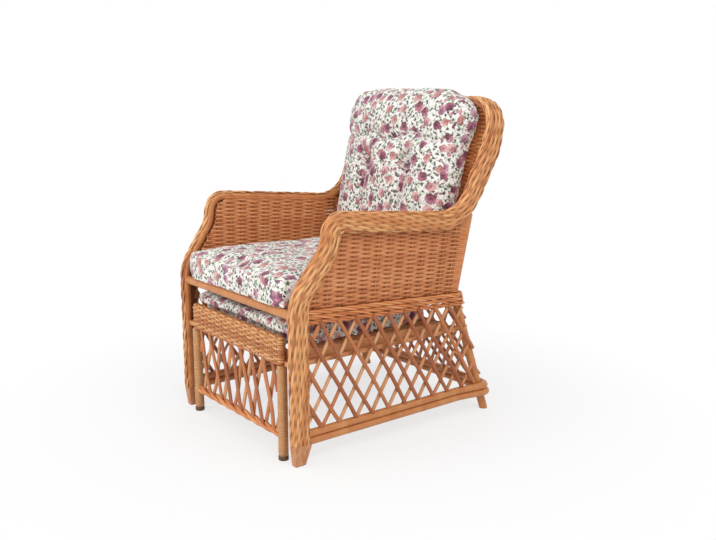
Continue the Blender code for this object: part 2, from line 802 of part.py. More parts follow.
def lattices(chair):
    base = LOW_RAIL_Z + 3 * LOW_RAIL_R + GAP
    front = BAND_WIDTH - BAND_LIP
    outer = wale_inner() + 2 * ROD_DEEP - ROD_SINK
    rear_low = leg_axis(base).y - leg_half_depth()
    rear_high = leg_axis(WALE_REAR_Z).y - leg_half_depth()
    region = [
        Vector((front, base)),
        Vector((rear_low, base)),
        Vector((rear_high, wale_low(rear_high))),
        Vector((front, wale_low(front))),
    ]
    for name, side in (("lattice_right", 1), ("lattice_left", -1)):
        lattice(
            name,
            chair,
            region,
            ROD_SHIFT,
            SIDE_ROD_LEAD,
            lambda along, up, deep, side=side: Vector((side * (outer - deep), along, up)),
        )
    foot, bend = leg_axis(0), leg_axis(REAR_BEND_Z)
    up_way = Vector((0, bend.y - foot.y, bend.z)).normalized()
    out_way = X_AXIS.cross(up_way) * -1
    half = wale_inner()
    reach = POLE_R + GAP + 2 * ROD_DEEP - ROD_SINK
    top = (wale_back_base() - out_way.z * reach) / up_way.z
    region = [Vector((-half, base / up_way.z)), Vector((half, base / up_way.z))]
    region += [Vector((half, top)), Vector((-half, top))]
    plane = Vector((0, foot.y, 0))
    lattice(
        "lattice_back",
        chair,
        region,
        ROD_SHIFT,
        half % ROD_PITCH,
        lambda along, up, deep: plane + X_AXIS * along + up_way * up + out_way * (reach - deep),
    )


def runners(chair):
    outer = POST_X - POLE_R - GAP
    top = REST_BOARD_Z + RUNNER_THICK
    rear = leg_axis(top).y - leg_half_depth() - GAP
    for name, side in (("runner_right", 1), ("runner_left", -1)):
        ends = sorted((side * RUNNER_X, side * outer))
        low = (ends[0], RUNNER_FRONT_Y, REST_BOARD_Z)
        mesh = block(name, low, (ends[1], rear, top))
        add_piece(name, mesh, chair, TIMBER)


def footrest_front(rest):
    for side, x in (("right", REST_LEG_X), ("left", -REST_LEG_X)):
        path = [Vector((x, REST_Y, REST_CAP_HEIGHT + GAP)), Vector((x, REST_Y, APRON_Z - GAP))]
        name = f"footrest_leg_{side}"
        add_piece(name, pole(name, path, REST_LEG_R), rest, CANE_WRAP)
        name = f"footrest_cap_{side}"
        path = [Vector((x, REST_Y, 0)), Vector((x, REST_Y, REST_CAP_HEIGHT))]
        add_piece(name, pole(name, path, REST_LEG_R), rest, DARK_CAP)
    half = REST_LEG_X - REST_LEG_R - GAP
    path = [Vector((side * half, REST_Y, REST_RAIL_Z)) for side in (-1, 1)]
    mesh = pole("footrest_bottom_rail", path, RAIL_R)
    add_piece("footrest_bottom_rail", mesh, rest, RATTAN)
    round_r = APRON_THICK / 2
    crown = APRON_Z + APRON_HEIGHT - round_r
    outline = [(-round_r, APRON_Z), (round_r, APRON_Z)]
    outline += [
        (round_r * math.cos(math.radians(a)), crown + round_r * math.sin(math.radians(a)))
        for a in range(0, 181, 30)
    ]
    points = [Vector((0, REST_Y + y, z)) for y, z in outline]
    apron_half = REST_LEG_X + APRON_OVERHANG
    mesh = extruded("footrest_apron", points, X_AXIS, -apron_half, apron_half)
    add_piece("footrest_apron", mesh, rest, WEAVE)
    base = REST_RAIL_Z + RAIL_R
    region = [Vector(p) for p in ((-half, base), (half, base), (half, APRON_Z), (-half, APRON_Z))]
    front = REST_Y - ROD_DEEP
    lattice(
        "footrest_lattice",
        rest,
        region,
        FRONT_ROD_SHIFT,
        half % ROD_PITCH,
        lambda along, up, deep: Vector((along, front + deep, up)),
    )


def footrest_frame(rest):
    front = REST_Y + APRON_THICK / 2 + GAP
    top = REST_BOARD_Z + REST_BOARD_HEIGHT
    ledge = REST_BOARD_Z + RUNNER_THICK + GAP
    inner_wall = RUNNER_X - GAP
    lip = RUNNER_X + RUNNER_WIDTH - GAP - RUNNER_SPARE
    outline = [
        (REST_BOARD_X, REST_BOARD_Z),
        (inner_wall, REST_BOARD_Z),
        (inner_wall, ledge),
        (lip, ledge),
        (lip, top),
        (REST_BOARD_X, top),
    ]
    for name, side in (("footrest_side_board_right", 1), ("footrest_side_board_left", -1)):
        points = [Vector((side * x, 0, z)) for x, z in outline]
        mesh = extruded(name, points, Y_AXIS, front, REST_REAR_Y)
        add_piece(name, mesh, rest, TIMBER)
    half = REST_BOARD_X - GAP
    low = (-half, REST_REAR_Y - REST_REAR_RAIL_THICK, REST_BOARD_Z)
    mesh = block("footrest_rear_rail", low, (half, REST_REAR_Y, top))
    add_piece("footrest_rear_rail", mesh, rest, TIMBER)
    span = REST_REAR_Y - front - 2 * REST_SLAT_MARGIN
    for i in range(REST_SLATS):
        y = front + REST_SLAT_MARGIN + span * i / (REST_SLATS - 1)
        name = f"footrest_slat_{i + 1}"
        low = (-inner_wall, y - REST_SLAT_WIDTH / 2, top + GAP)
        high = (inner_wall, y + REST_SLAT_WIDTH / 2, top + GAP + REST_SLAT_THICK)
        add_piece(name, block(name, low, high), rest, TIMBER)


def rounding(a, b):
    """How far a point of the unit square is drawn in where the square's corners are rounded."""
    size = (abs(a) ** CORNER_POWER + abs(b) ** CORNER_POWER) ** (1 / CORNER_POWER)
    return max(abs(a), abs(b)) / size if size else 1


def cushion(name, half_width, length, edge, crown, cells, place, dent):
    """Box cushion, flat below: crowned above, sides drawn in between the corners and bulging out.

    place moves its (across, along, up) into the chair's frame, and dent lowers its face.
    """
    bm = bmesh.new()
    bmesh.ops.create_cube(bm, size=2)
    for axis, count in enumerate(cells):
        others = [i for i in range(3) if i != axis]
        lines = []
        for line in bm.edges:
            way = line.verts[0].co - line.verts[1].co
            if all(abs(way[i]) < GAP for i in others):
                lines.append(line)
        bmesh.ops.subdivide_edges(bm, edges=lines, cuts=count - 1, use_grid_fill=True)
    for vert in bm.verts:
        a, b, c = vert.co
        corner = rounding(a, b)
        across = a * corner * (half_width - CUSHION_PULL * (1 - b * b))
        along = b * corner * (length / 2 - CUSHION_PULL * (1 - a * a))
        swell = CUSHION_BULGE * (1 - c * c)
        if abs(a) > 1 - GAP:
            across += math.copysign(swell, a)
        if abs(b) > 1 - GAP:
            along += math.copysign(swell, b)
        up = edge * (c + 1) / 2
        if c > 1 - GAP:
            dome = math.sqrt(max(0, (1 - a * a) * (1 - b * b)))
            up += crown * dome - dent(a, b) * dome
        vert.co = place @ Vector((across, along, up))
    return mesh_of(bm, name, sharp=60)


def no_dent(_across, _along):
    return 0.0


def back_dent(across, along):
    """Two sewn tufts, channels down from them, and a crease above them under the head roll."""
    near = math.exp(-(((abs(across) - TUFT_X) / CREASE_WIDTH) ** 2))
    level = math.exp(-(((along - TUFT_HEIGHT) / CREASE_WIDTH) ** 2))
    below = 1 if along < TUFT_HEIGHT else level
    roll = math.exp(-(((along - ROLL_HEIGHT) / CREASE_WIDTH) ** 2))
    return TUFT_DEPTH * near * level + CHANNEL_DEPTH * near * below + ROLL_CREASE_DEPTH * roll


def seat_cushion(chair):
    length = SEAT_REAR_Y - SEAT_FRONT_Y
    middle = (SEAT_REAR_Y + SEAT_FRONT_Y) / 2
    fall = (SIDE_RAIL_REAR_Z - SIDE_RAIL_FRONT_Z) / REAR_BEND_Y
    base = slat_base(middle) - fall * SLAT_WIDTH + SLAT_THICK + GAP
    place = Matrix.Translation((0, middle, base)) @ Matrix.Rotation(math.atan(fall), 4, "X")
    mesh = cushion(
        "seat_cushion",
        SEAT_HALF_WIDTH,
        length - 2 * CUSHION_BULGE,
        SEAT_EDGE,
        SEAT_CROWN,
        (10, 10, 3),
        place,
        no_dent,
    )
    add_piece("seat_cushion", mesh, chair, FABRIC)


def back_cushion(chair):
    lean = math.atan(back_slope())
    stand_off = (POLE_R + GAP) / math.cos(lean)
    middle = BACK_HEIGHT / 2 * math.cos(lean) + BACK_BASE_Z
    spot = Vector((0, back_lean(middle) - stand_off, middle))
    turn = Matrix((
        (1, 0, 0, 0),
        (0, math.sin(lean), -math.cos(lean), 0),
        (0, math.cos(lean), math.sin(lean), 0),
        (0, 0, 0, 1),
    ))
    mesh = cushion(
        "back_cushion",
        BACK_HALF_WIDTH,
        BACK_HEIGHT,
        BACK_EDGE,
        BACK_CROWN,
        (13, 13, 3),
        Matrix.Translation(spot) @ turn,
        back_dent,
    )
    add_piece("back_cushion", mesh, chair, FABRIC)


def footrest_cushion(rest):
    front = REST_Y + APRON_THICK / 2 + GAP + CUSHION_BULGE
    rear = REST_REAR_Y - CUSHION_BULGE
    base = REST_BOARD_Z + REST_BOARD_HEIGHT + REST_SLAT_THICK + 2 * GAP
    mesh = cushion(
        "footrest_cushion",
        REST_BOARD_X + REST_CUSHION_OVERHANG,
        rear - front,
        REST_EDGE,
        REST_CROWN,
        (8, 8, 2),
        Matrix.Translation((0, (front + rear) / 2, base)),
        no_dent,
    )
    add_piece("footrest_cushion", mesh, rest, FABRIC)


def centre_on_floor(root):
    """Moves the chair so that its box is centred on the origin, front to back."""
    bpy.context.view_layer.update()
    graph = bpy.context.evaluated_depsgraph_get()
    places = []
    for obj in bpy.data.objects:
        if obj.type == "EMPTY" or obj.hide_render:
            continue
        shape = obj.evaluated_get(graph)
        mesh = shape.to_mesh()
        places += [(shape.matrix_world @ vert.co).y for vert in mesh.vertices]
        shape.to_mesh_clear()
    root.location.y = -(min(places) + max(places)) / 2


def build():
    clear_scene()
    chair = add_empty("chair", None, (0, 0, 0))
    rest = add_empty("footrest", chair, (0, REST_Y, REST_BOARD_Z + RUNNER_THICK))
    arm_poles(chair)
    back_hoop(chair)
    border(chair)
    rear_posts(chair)
    front_feet(chair)
    seat_frame(chair)
    seat_slats(chair)
    low_rails(chair)
    wales(chair)
    side_panels(chair)
    back_panel(chair)
    lattices(chair)
    runners(chair)
    seat_cushion(chair)
    back_cushion(chair)
    footrest_front(rest)
    footrest_frame(rest)
    footrest_cushion(rest)
    centre_on_floor(chair)


build()
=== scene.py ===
"""Dresses the solids of a wicker armchair with a pull-out footrest.

Woven, wound and padded pieces are drawn in metres from the axis of the front posts (y = 0) and from
the floor (z = 0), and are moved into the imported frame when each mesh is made.
"""

import logging
import math
from dataclasses import dataclass, field
from enum import Enum
from typing import Any, Callable, Optional, Sequence, Union

import bmesh
import bpy
import numpy as np
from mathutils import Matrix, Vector


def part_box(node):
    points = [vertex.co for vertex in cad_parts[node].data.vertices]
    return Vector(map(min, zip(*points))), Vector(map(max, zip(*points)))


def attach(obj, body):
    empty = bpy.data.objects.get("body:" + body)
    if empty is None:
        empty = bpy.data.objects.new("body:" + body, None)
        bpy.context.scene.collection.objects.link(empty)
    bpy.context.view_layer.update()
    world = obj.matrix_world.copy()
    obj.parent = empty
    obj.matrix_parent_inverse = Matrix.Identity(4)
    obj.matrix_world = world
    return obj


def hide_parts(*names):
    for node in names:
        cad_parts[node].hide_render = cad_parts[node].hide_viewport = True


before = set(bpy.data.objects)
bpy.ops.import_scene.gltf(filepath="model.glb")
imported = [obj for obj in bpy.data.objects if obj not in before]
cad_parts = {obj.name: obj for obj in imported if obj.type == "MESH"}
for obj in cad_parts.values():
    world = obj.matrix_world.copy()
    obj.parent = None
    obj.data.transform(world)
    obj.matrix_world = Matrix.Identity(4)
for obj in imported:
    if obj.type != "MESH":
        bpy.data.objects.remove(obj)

LOG = logging.getLogger("armchair")
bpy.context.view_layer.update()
FRONT_Y = sum(corner.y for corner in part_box("seat_front_rail")) / 2  # axis of the front posts

Array = np.ndarray
X_AXIS, Y_AXIS, Z_AXIS = np.eye(3)
TURN = 2 * math.pi
POLE_R = 0.0125
WHITE = (1.0, 1.0, 1.0, 1.0)


class Body(Enum):
    """The two bodies of the chair."""

    CHAIR = "chair"
    FOOTREST = "footrest"


class Slot(Enum):
    """Finish slots of the record."""

    RATTAN = "rattan"
    PLAIT = "plait"
    WEAVE = "weave"
    TIMBER = "timber"
    CANE_WRAP = "cane_wrap"
    DARK_CAP = "dark_cap"
    FABRIC = "fabric"


class Side(Enum):
    """Which side of the chair a piece is on, as the sign of its x."""

    RIGHT = 1
    LEFT = -1

    @property
    def word(self) -> str:
        """The side's word in the names of pieces and nodes."""
        return self.name.lower()

    @property
    def flip(self) -> Array:
        """Factors that bring a place on the right to this side."""
        return np.array((self.value, 1, 1))


# Lines


def unit(vectors: Array) -> Array:
    """Vectors brought to length one; one without length stays so."""
    return vectors / np.maximum(np.linalg.norm(vectors, axis=-1, keepdims=True), 1e-12)


def directions(points: Array, closed: bool = False) -> Array:
    """Unit directions along a line of points."""
    return unit(np.roll(points, -1, 0) - np.roll(points, 1, 0) if closed else np.gradient(points, axis=0))


def lengths_along(points: Array) -> Array:
    """Length from the start of a line to each of its points."""
    return np.concatenate([[0.0], np.cumsum(np.linalg.norm(np.diff(points, axis=0), axis=1))])


def spaced(points: Array, step: float, closed: bool = False) -> Array:
    """Evenly spaced points along a line.

    Args:
        points: The line's points.
        step: Distance between the new points.
        closed: Whether the line runs back to its start.

    Returns:
        The new points.
    """
    points = np.asarray(points, float)
    if closed:
        points = np.vstack([points, points[:1]])
    run = lengths_along(points)
    at = np.linspace(0, run[-1], max(3, round(run[-1] / step) + 1))
    if closed:
        at = at[:-1]
    return np.column_stack([np.interp(at, run, points[:, i]) for i in range(points.shape[1])])


def rounded_line(corners: Sequence[Sequence[float]], radii: Sequence[float], steps: int = 20) -> Array:
    """A line of straight runs whose corners become arcs.

    Args:
        corners: The corners' places.
        radii: The bend at each corner; those of the two ends don't count.
        steps: Points along each arc.

    Returns:
        The line's points.
    """
    places = np.array(corners, float)
    ways = unit(np.diff(places, axis=0))
    turns = [0.0, *(math.acos(np.clip(into @ out, -1, 1)) for into, out in zip(ways, ways[1:])), 0.0]
    reaches = [radius * math.tan(turn / 2) for radius, turn in zip(radii, turns)]
    for i in range(len(places) - 1):
        need = reaches[i] + reaches[i + 1]
        room = np.linalg.norm(places[i + 1] - places[i])
        if need > room:
            reaches[i] *= room / need
            reaches[i + 1] *= room / need
    points = [places[0]]
    for i, (into, out) in enumerate(zip(ways, ways[1:]), 1):
        radius = reaches[i] / math.tan(turns[i] / 2)
        start = places[i] - into * reaches[i]
        arm = unit(into * (out @ into) - out) * radius
        for angle in np.linspace(0, turns[i], steps):
            points.append(start - arm + arm * math.cos(angle) + into * radius * math.sin(angle))
    points.append(places[-1])
    return np.array(points)


def level_arc(middle: Array, radius: float, degrees: Sequence[float], deeper: float = 1.0) -> Array:
    """Points of a level arc, from x towards y; deeper stretches it in y."""
    turns = np.radians(degrees)[:, None]
    return middle + radius * (np.cos(turns) * X_AXIS + np.sin(turns) * deeper * Y_AXIS)


def both_sides(right: Array) -> Array:
    """A line from the right front to the middle of the back, carried on to the left front."""
    return np.vstack([right, (right * Side.LEFT.flip)[::-1]])


# Shader values


def math_node(operation: str, flipped: bool = False) -> Callable[..., "Value"]:
    """A method for Value that adds one Math node.

    Args:
        operation: The node's operation.
        flipped: Whether the other value comes first.

    Returns:
        The method.
    """

    def method(self: "Value", other: Any = 0.0) -> "Value":
        """Adds the node and gives its result."""
        sockets = {0: other, 1: self} if flipped else {0: self, 1: other}
        return self.tree.value("ShaderNodeMath", {"operation": operation}, sockets)

    return method


class Value:
    """A number in a node tree, on which Python's operators add Math nodes."""

    def __init__(self, tree: "Tree", socket: bpy.types.NodeSocket) -> None:
        """Keeps the socket and the tree it belongs to."""
        self.tree = tree
        self.socket = socket

    __add__ = __radd__ = math_node("ADD")
    __sub__ = math_node("SUBTRACT")
    __rsub__ = math_node("SUBTRACT", True)
    __mul__ = __rmul__ = math_node("MULTIPLY")
    __truediv__ = math_node("DIVIDE")
    __rtruediv__ = math_node("DIVIDE", True)
    below = math_node("LESS_THAN")
    above = math_node("GREATER_THAN")
    at_least = math_node("MAXIMUM")
    at_most = math_node("MINIMUM")
    angle_from = math_node("ARCTAN2")
    sine = math_node("SINE")
    cosine = math_node("COSINE")
    size = math_node("ABSOLUTE")
    root = math_node("SQRT")

    def clamped(self) -> "Value":
        """Held between zero and one."""
        return self.at_least(0.0).at_most(1.0)

    def step_down(self, start: float, end: float) -> "Value":
        """One below start, falling evenly to zero at end."""
        return ((end - self) / (end - start)).clamped()


Fed = Union[Value, bpy.types.NodeSocket, float, tuple, list, Vector]


class Tree:
    """The nodes of a finish or of the room."""

    def __init__(self, owner: Union[bpy.types.Material, bpy.types.World]) -> None:
        """Opens the owner's nodes."""
        owner.use_nodes = True
        self.nodes, self.links = owner.node_tree.nodes, owner.node_tree.links

    def feed(self, socket: bpy.types.NodeSocket, value: Fed) -> None:
        """Links an input to a value, or sets it.

        Args:
            socket: The input.
            value: A value or output to link, or a plain number or colour to set.
        """
        source = value.socket if isinstance(value, Value) else value
        if isinstance(source, bpy.types.NodeSocket):
            self.links.new(source, socket)
        else:
            socket.default_value = source

    def node(
        self, kind: str, settings: Optional[dict] = None, sockets: Optional[dict] = None
    ) -> bpy.types.Node:
        """Adds a node.

        Args:
            kind: The node's type.
            settings: Its settings; "stops" gives a ramp's places and colours.
            sockets: Values or links of its inputs, by name or number.

        Returns:
            The new node.
        """
        made = self.nodes.new(kind)
        for key, value in (settings or {}).items():
            if key == "stops":
                stops = made.color_ramp.elements
                while len(stops) < len(value):
                    stops.new(1.0)
                for stop, (place, code) in zip(stops, value):
                    stop.position, stop.color = place, colour(code)
            elif key == "interpolation":
                made.color_ramp.interpolation = value
            else:
                setattr(made, key, value)
        for key, value in (sockets or {}).items():
            self.feed(made.inputs[key], value)
        return made

    def value(self, kind: str, settings: Optional[dict], sockets: Optional[dict], output: Any = 0) -> Value:
        """A new node's output as a value."""
        return Value(self, self.node(kind, settings, sockets).outputs[output])

    def seen(self) -> Value:
        """Tells what is seen straight, in gloss or through glass.

        Returns:
            One for a ray that sees, else zero.
        """
        ray = self.node("ShaderNodeLightPath").outputs
        straight = Value(self, ray["Is Camera Ray"])
        return straight.at_least(ray["Is Glossy Ray"]).at_least(ray["Is Transmission Ray"])


class Shader(Tree):
    """The node tree of one finish."""

    def __init__(self, name: str) -> None:
        """Starts a material with its Principled shader."""
        self.material = bpy.data.materials.new(name)
        super().__init__(self.material)
        self.surface = self.nodes["Principled BSDF"]

    def coordinates(self, name: str) -> bpy.types.NodeSocket:
        """Texture coordinates of the named kind."""
        return self.node("ShaderNodeTexCoord").outputs[name]

    def attribute(self, name: str) -> Value:
        """A number kept on the mesh."""
        return self.value("ShaderNodeAttribute", {"attribute_name": name}, None, "Fac")

    def vector(self, x: Fed, y: Fed, z: Fed = 0.0) -> bpy.types.NodeSocket:
        """Three values joined."""
        return self.node("ShaderNodeCombineXYZ", None, {0: x, 1: y, 2: z}).outputs[0]

    def parts(self, vector: bpy.types.NodeSocket) -> tuple[Value, Value, Value]:
        """The three values of a vector."""
        split = self.node("ShaderNodeSeparateXYZ", None, {0: vector})
        return tuple(Value(self, split.outputs[i]) for i in range(3))

    def vector_math(self, operation: str, first: Fed, second: Fed) -> bpy.types.NodeSocket:
        """One Vector Math node's vector."""
        return self.node("ShaderNodeVectorMath", {"operation": operation}, {0: first, 1: second}).outputs[0]

    def noise(self, coords: Fed, scale: float, detail: float = 2.0, roughness: float = 0.5) -> Value:
        """A noise texture's value."""
        sockets = {"Vector": coords, "Scale": scale, "Detail": detail, "Roughness": roughness}
        return self.value("ShaderNodeTexNoise", None, sockets)

    def mix(self, share: Fed, first: Fed, second: Fed) -> bpy.types.NodeSocket:
        """Two colours mixed by a share."""
        sockets = {0: share, 6: first, 7: second}
        return self.node("ShaderNodeMix", {"data_type": "RGBA"}, sockets).outputs[2]

    def ramp(self, value: Fed, stops: Sequence[tuple], interpolation: str = "LINEAR") -> bpy.types.NodeSocket:
        """The colour of a ramp whose stops are places and colour codes."""
        settings = {"interpolation": interpolation, "stops": stops}
        return self.node("ShaderNodeValToRGB", settings, {0: value}).outputs[0]

    def bump(self, height: Fed, strength: float, distance: float) -> None:
        """Feeds a bump into the surface's normal."""
        sockets = {"Strength": strength, "Distance": distance, "Height": height}
        self.feed(self.surface.inputs["Normal"], self.node("ShaderNodeBump", None, sockets).outputs[0])

    def dress(self, **sockets: Fed) -> None:
        """Sets or links the surface's inputs, named with underscores for spaces."""
        for key, value in sockets.items():
            self.feed(self.surface.inputs[key.replace("_", " ")], value)


def colour(code: str) -> tuple[float, float, float, float]:
    """A screen colour such as "C97A45" as the linear colour that shaders take."""
    parts = [int(code[i : i + 2], 16) / 255 for i in (0, 2, 4)]
    return (*[c / 12.92 if c <= 0.04045 else ((c + 0.055) / 1.055) ** 2.4 for c in parts], 1.0)


# Finishes


@dataclass(frozen=True)
class Finish:
    """A finish of the chair."""

    name: str

    def draw(self, shader: Shader) -> None:
        """Adds the finish's nodes; each kind of finish has its own."""
        raise NotImplementedError(self.name)

    def material(self) -> bpy.types.Material:
        """Makes the finish's material when it is first asked for.

        Returns:
            The material.
        """
        found = bpy.data.materials.get(self.name)
        if found:
            return found
        shader = Shader(self.name)
        self.draw(shader)
        return shader.material


@dataclass(frozen=True)
class Cane(Finish):
    """Varnished rattan strand or pole, each strand with its own tone."""

    dark: str
    mid: str
    light: str
    roughness: float = 0.42
    tone_share: float = 0.5
    hollow: str = "5A2A10"  # colour of the shade painted where a strand dips under its neighbours and along its edges
    painted_shade_share: float = 0.8
    patch_scale: float = 24.0
    streak_scale: tuple = (26.0, 70.0)  # along the strand, and from strand to strand
    fibre_scale: float = 420.0
    fibre_share: float = 0.14
    gloss_spread: float = 0.22
    varnish: tuple = (0.10, 0.28)  # weight and roughness of the coat

    def draw(self, shader: Shader) -> None:
        """Adds patches, streaks, fibres, and shade painted where strands dip and along their edges.

        Args:
            shader: The shader that gets the nodes.
        """
        place = shader.coordinates("Object")
        tone, run = shader.attribute("tone"), shader.attribute("run")
        along, between = self.streak_scale
        patch = shader.noise(place, self.patch_scale, 3.0)
        streak = shader.noise(shader.vector(run * along, tone * between), 1.0, 4.0, 0.6)
        fibre = shader.noise(place, self.fibre_scale, 2.0)
        rest = (patch * 0.5 + streak * 0.5) * (1.0 - self.tone_share)
        shade = tone * self.tone_share + rest + (fibre - 0.5) * self.fibre_share
        tint = shader.ramp(shade, [(0.22, self.dark), (0.5, self.mid), (0.8, self.light)])
        shader.bump(fibre * 0.5 + streak * 0.5, 0.22, 0.0012)
        # painted shade: the colour is darkened where strands dip and along their edges
        shader.dress(
            Base_Color=shader.mix(shader.attribute("hollow") * self.painted_shade_share, tint, colour(self.hollow)),
            Roughness=self.roughness + (streak - 0.5) * self.gloss_spread,
            Coat_Weight=self.varnish[0],
            Coat_Roughness=self.varnish[1],
        )


@dataclass(frozen=True)
class Timber(Finish):
    """Planed wood with its grain along one axis."""

    dark: str
    light: str
    stretch: tuple[float, float, float]
    roughness: float = 0.55
    rings: float = 38.0

    def draw(self, shader: Shader) -> None:
        """Adds grain, rings and pores.

        Args:
            shader: The shader that gets the nodes.
        """
        place = shader.vector_math("MULTIPLY", shader.coordinates("Object"), self.stretch)
        grain = shader.noise(place, 1.0, 5.0, 0.6)
        rings = ((grain * self.rings).sine() + 1.0) * 0.5
        pores = shader.noise(place, 4.0, 2.0)
        shade = grain * 0.55 + rings * 0.25 + pores * 0.2
        shader.bump(shade, 0.2, 0.0008)
        shader.dress(
            Base_Color=shader.ramp(shade, [(0.25, self.dark), (0.75, self.light)]),
            Roughness=self.roughness + (pores - 0.5) * 0.2,
        )


@dataclass(frozen=True)
class Moulded(Finish):
    """Dark moulded cap, scuffed."""

    dark: str
    light: str

    def draw(self, shader: Shader) -> None:
        """Adds scuffs and grit.

        Args:
            shader: The shader that gets the nodes.
        """
        place = shader.coordinates("Object")
        scuff = shader.noise(place, 90.0, 4.0, 0.65)
        grit = shader.noise(place, 900.0, 1.0)
        shader.bump(grit, 0.15, 0.0004)
        shader.dress(
            Base_Color=shader.ramp(scuff, [(0.35, self.dark), (0.75, self.light)]),
            Roughness=0.5 + scuff * 0.25,
        )


@dataclass(frozen=True)
class Scatter:
    """Motifs scattered over cloth, one in each cell."""

    pitch: float  # usual distance between motifs
    turn: float  # turns and moves the scatter, so that layers differ
    loose: float = 0.8  # how far the motifs stray from an even grid

    def cells(self, shader: Shader, place: Fed) -> tuple[Value, ...]:
        """Finds the nearest motif.

        Args:
            shader: The shader that gets the nodes.
            place: Where on the cloth, in metres.

        Returns:
            Offset across and along from the motif's middle in shares of the pitch, and three random numbers.
        """
        move, spin = (self.turn, self.turn * 1.7, 0.0), (0.0, 0.0, self.turn)
        sockets = {"Vector": place, "Location": move, "Rotation": spin}
        moved = shader.node("ShaderNodeMapping", None, sockets).outputs[0]
        sockets = {"Vector": moved, "Scale": 1 / self.pitch, "Randomness": self.loose}
        cell = shader.node("ShaderNodeTexVoronoi", {"voronoi_dimensions": "2D"}, sockets)
        across, along, _ = shader.parts(shader.vector_math("SUBTRACT", moved, cell.outputs["Position"]))
        return across / self.pitch, along / self.pitch, *shader.parts(cell.outputs["Color"])


@dataclass(frozen=True)
class Leaves(Scatter):
    """Scattered leaves, or sprigs of several."""

    length: float = 0.44  # half length in shares of the pitch
    width: float = 0.22  # half width in shares of the pitch
    bare: float = 0.5  # share of the cells left bare
    strength: float = 1.0
    stops: tuple = ()  # colours
    further: tuple = ()  # turn and size of a sprig's further leaves

    def leaf(self, cell: tuple, size: float = 1.0, turn: float = 0.0) -> Value:
        """A pointed leaf turned at random.

        Args:
            cell: What cells() gave.
            size: Its size beside the first leaf's.
            turn: Turns the leaf further.

        Returns:
            One inside the leaf, zero outside, with a soft rim.
        """
        across, along, first, second, _ = cell
        length, width = self.length * size, self.width * size
        angle = first * TURN + turn
        u = across * angle.cosine() + along * angle.sine()
        v = along * angle.cosine() - across * angle.sine()
        bow = v - u * u * (second - 0.5) * 2.0
        return ((1.0 - (u * u) / (length * length) - bow.size() / width) * 3.0).clamped()

    def printed(self, shader: Shader, place: Fed, tint: Fed) -> Fed:
        """Prints the leaves over the cloth.

        Args:
            shader: The shader that gets the nodes.
            place: Where on the cloth, in metres.
            tint: The cloth's colour so far.

        Returns:
            The cloth's colour.
        """
        cell = self.cells(shader, place)
        mask = self.leaf(cell)
        for turn, size in self.further:
            mask = mask.at_least(self.leaf(cell, size, turn))
        mask = mask * cell[3].above(self.bare) * self.strength
        return shader.mix(mask, tint, shader.ramp(cell[4], self.stops, "CONSTANT"))


@dataclass(frozen=True)
class Roses(Scatter):
    """Scattered full roses of curled petals, darker on one half."""

    filled: float = 0.5  # share of the cells that hold a rose
    small: float = 0.22  # radius of the smallest, in shares of the pitch
    spread: float = 0.12  # how much larger the largest is
    kinds: tuple = ()  # light and dark colour of each kind

    def rose(self, cell: tuple) -> tuple[Value, Value]:
        """A rose.

        Args:
            cell: What cells() gave.

        Returns:
            Its mask, and the shade of its petals from light to dark.
        """
        across, along, first, second, third = cell
        reach = self.small + second * self.spread
        angle = along.angle_from(across)
        lobes = (angle * 5.0 + first * TURN).sine()
        share = (across * across + along * along).root() / (reach * (1.0 + lobes * 0.10))
        mask = ((1.0 - share) * 5.0).clamped()
        turn = third * (2 * TURN)
        lit = (across * turn.cosine() + along * turn.sine()) / reach
        curl = (share * 10.0 + angle * 2.0 + lobes).sine()
        heart = (0.34 - share).clamped() * 2.4
        return mask, (lit * 0.80 + 0.40 + curl * 0.26 + heart).clamped()

    def printed(self, shader: Shader, place: Fed, tint: Fed) -> Fed:
        """Prints the roses over the cloth.

        Args:
            shader: The shader that gets the nodes.
            place: Where on the cloth, in metres.
            tint: The cloth's colour so far.

        Returns:
            The cloth's colour.
        """
        cell = self.cells(shader, place)
        mask, shade = self.rose(cell)
        steps = np.linspace(0, 1, len(self.kinds), endpoint=False)
        pale, deep = (shader.ramp(cell[4], list(zip(steps, codes)), "CONSTANT") for codes in zip(*self.kinds))
        return shader.mix(mask * cell[3].below(self.filled), tint, shader.mix(shade, pale, deep))


SPECK_TINTS = ((0.0, "B4C2AE"), (0.4, "C8B8C0"), (0.7, "9CAA96"))
SPRIG_TINTS = ((0.0, "3E4643"), (0.45, "56604F"), (0.68, "563C48"), (0.84, "7F8D76"))
LEAF_TINTS = ((0.0, "7F9070"), (0.4, "4E584A"), (0.75, "98A68A"))
BUD_TINTS = (("D3A6B0", "9C5074"), ("CFA0A0", "B0606A"))
PINK_TINTS = (("DEB4AE", "A05864"), ("DAACA8", "94505F"), ("D6A49E", "A05E5A"), ("CC9AA8", "7C3E62"))
PLUM_TINTS = (("AE6280", "52122E"), ("9E4E6C", "48102A"), ("B46E84", "601836"))


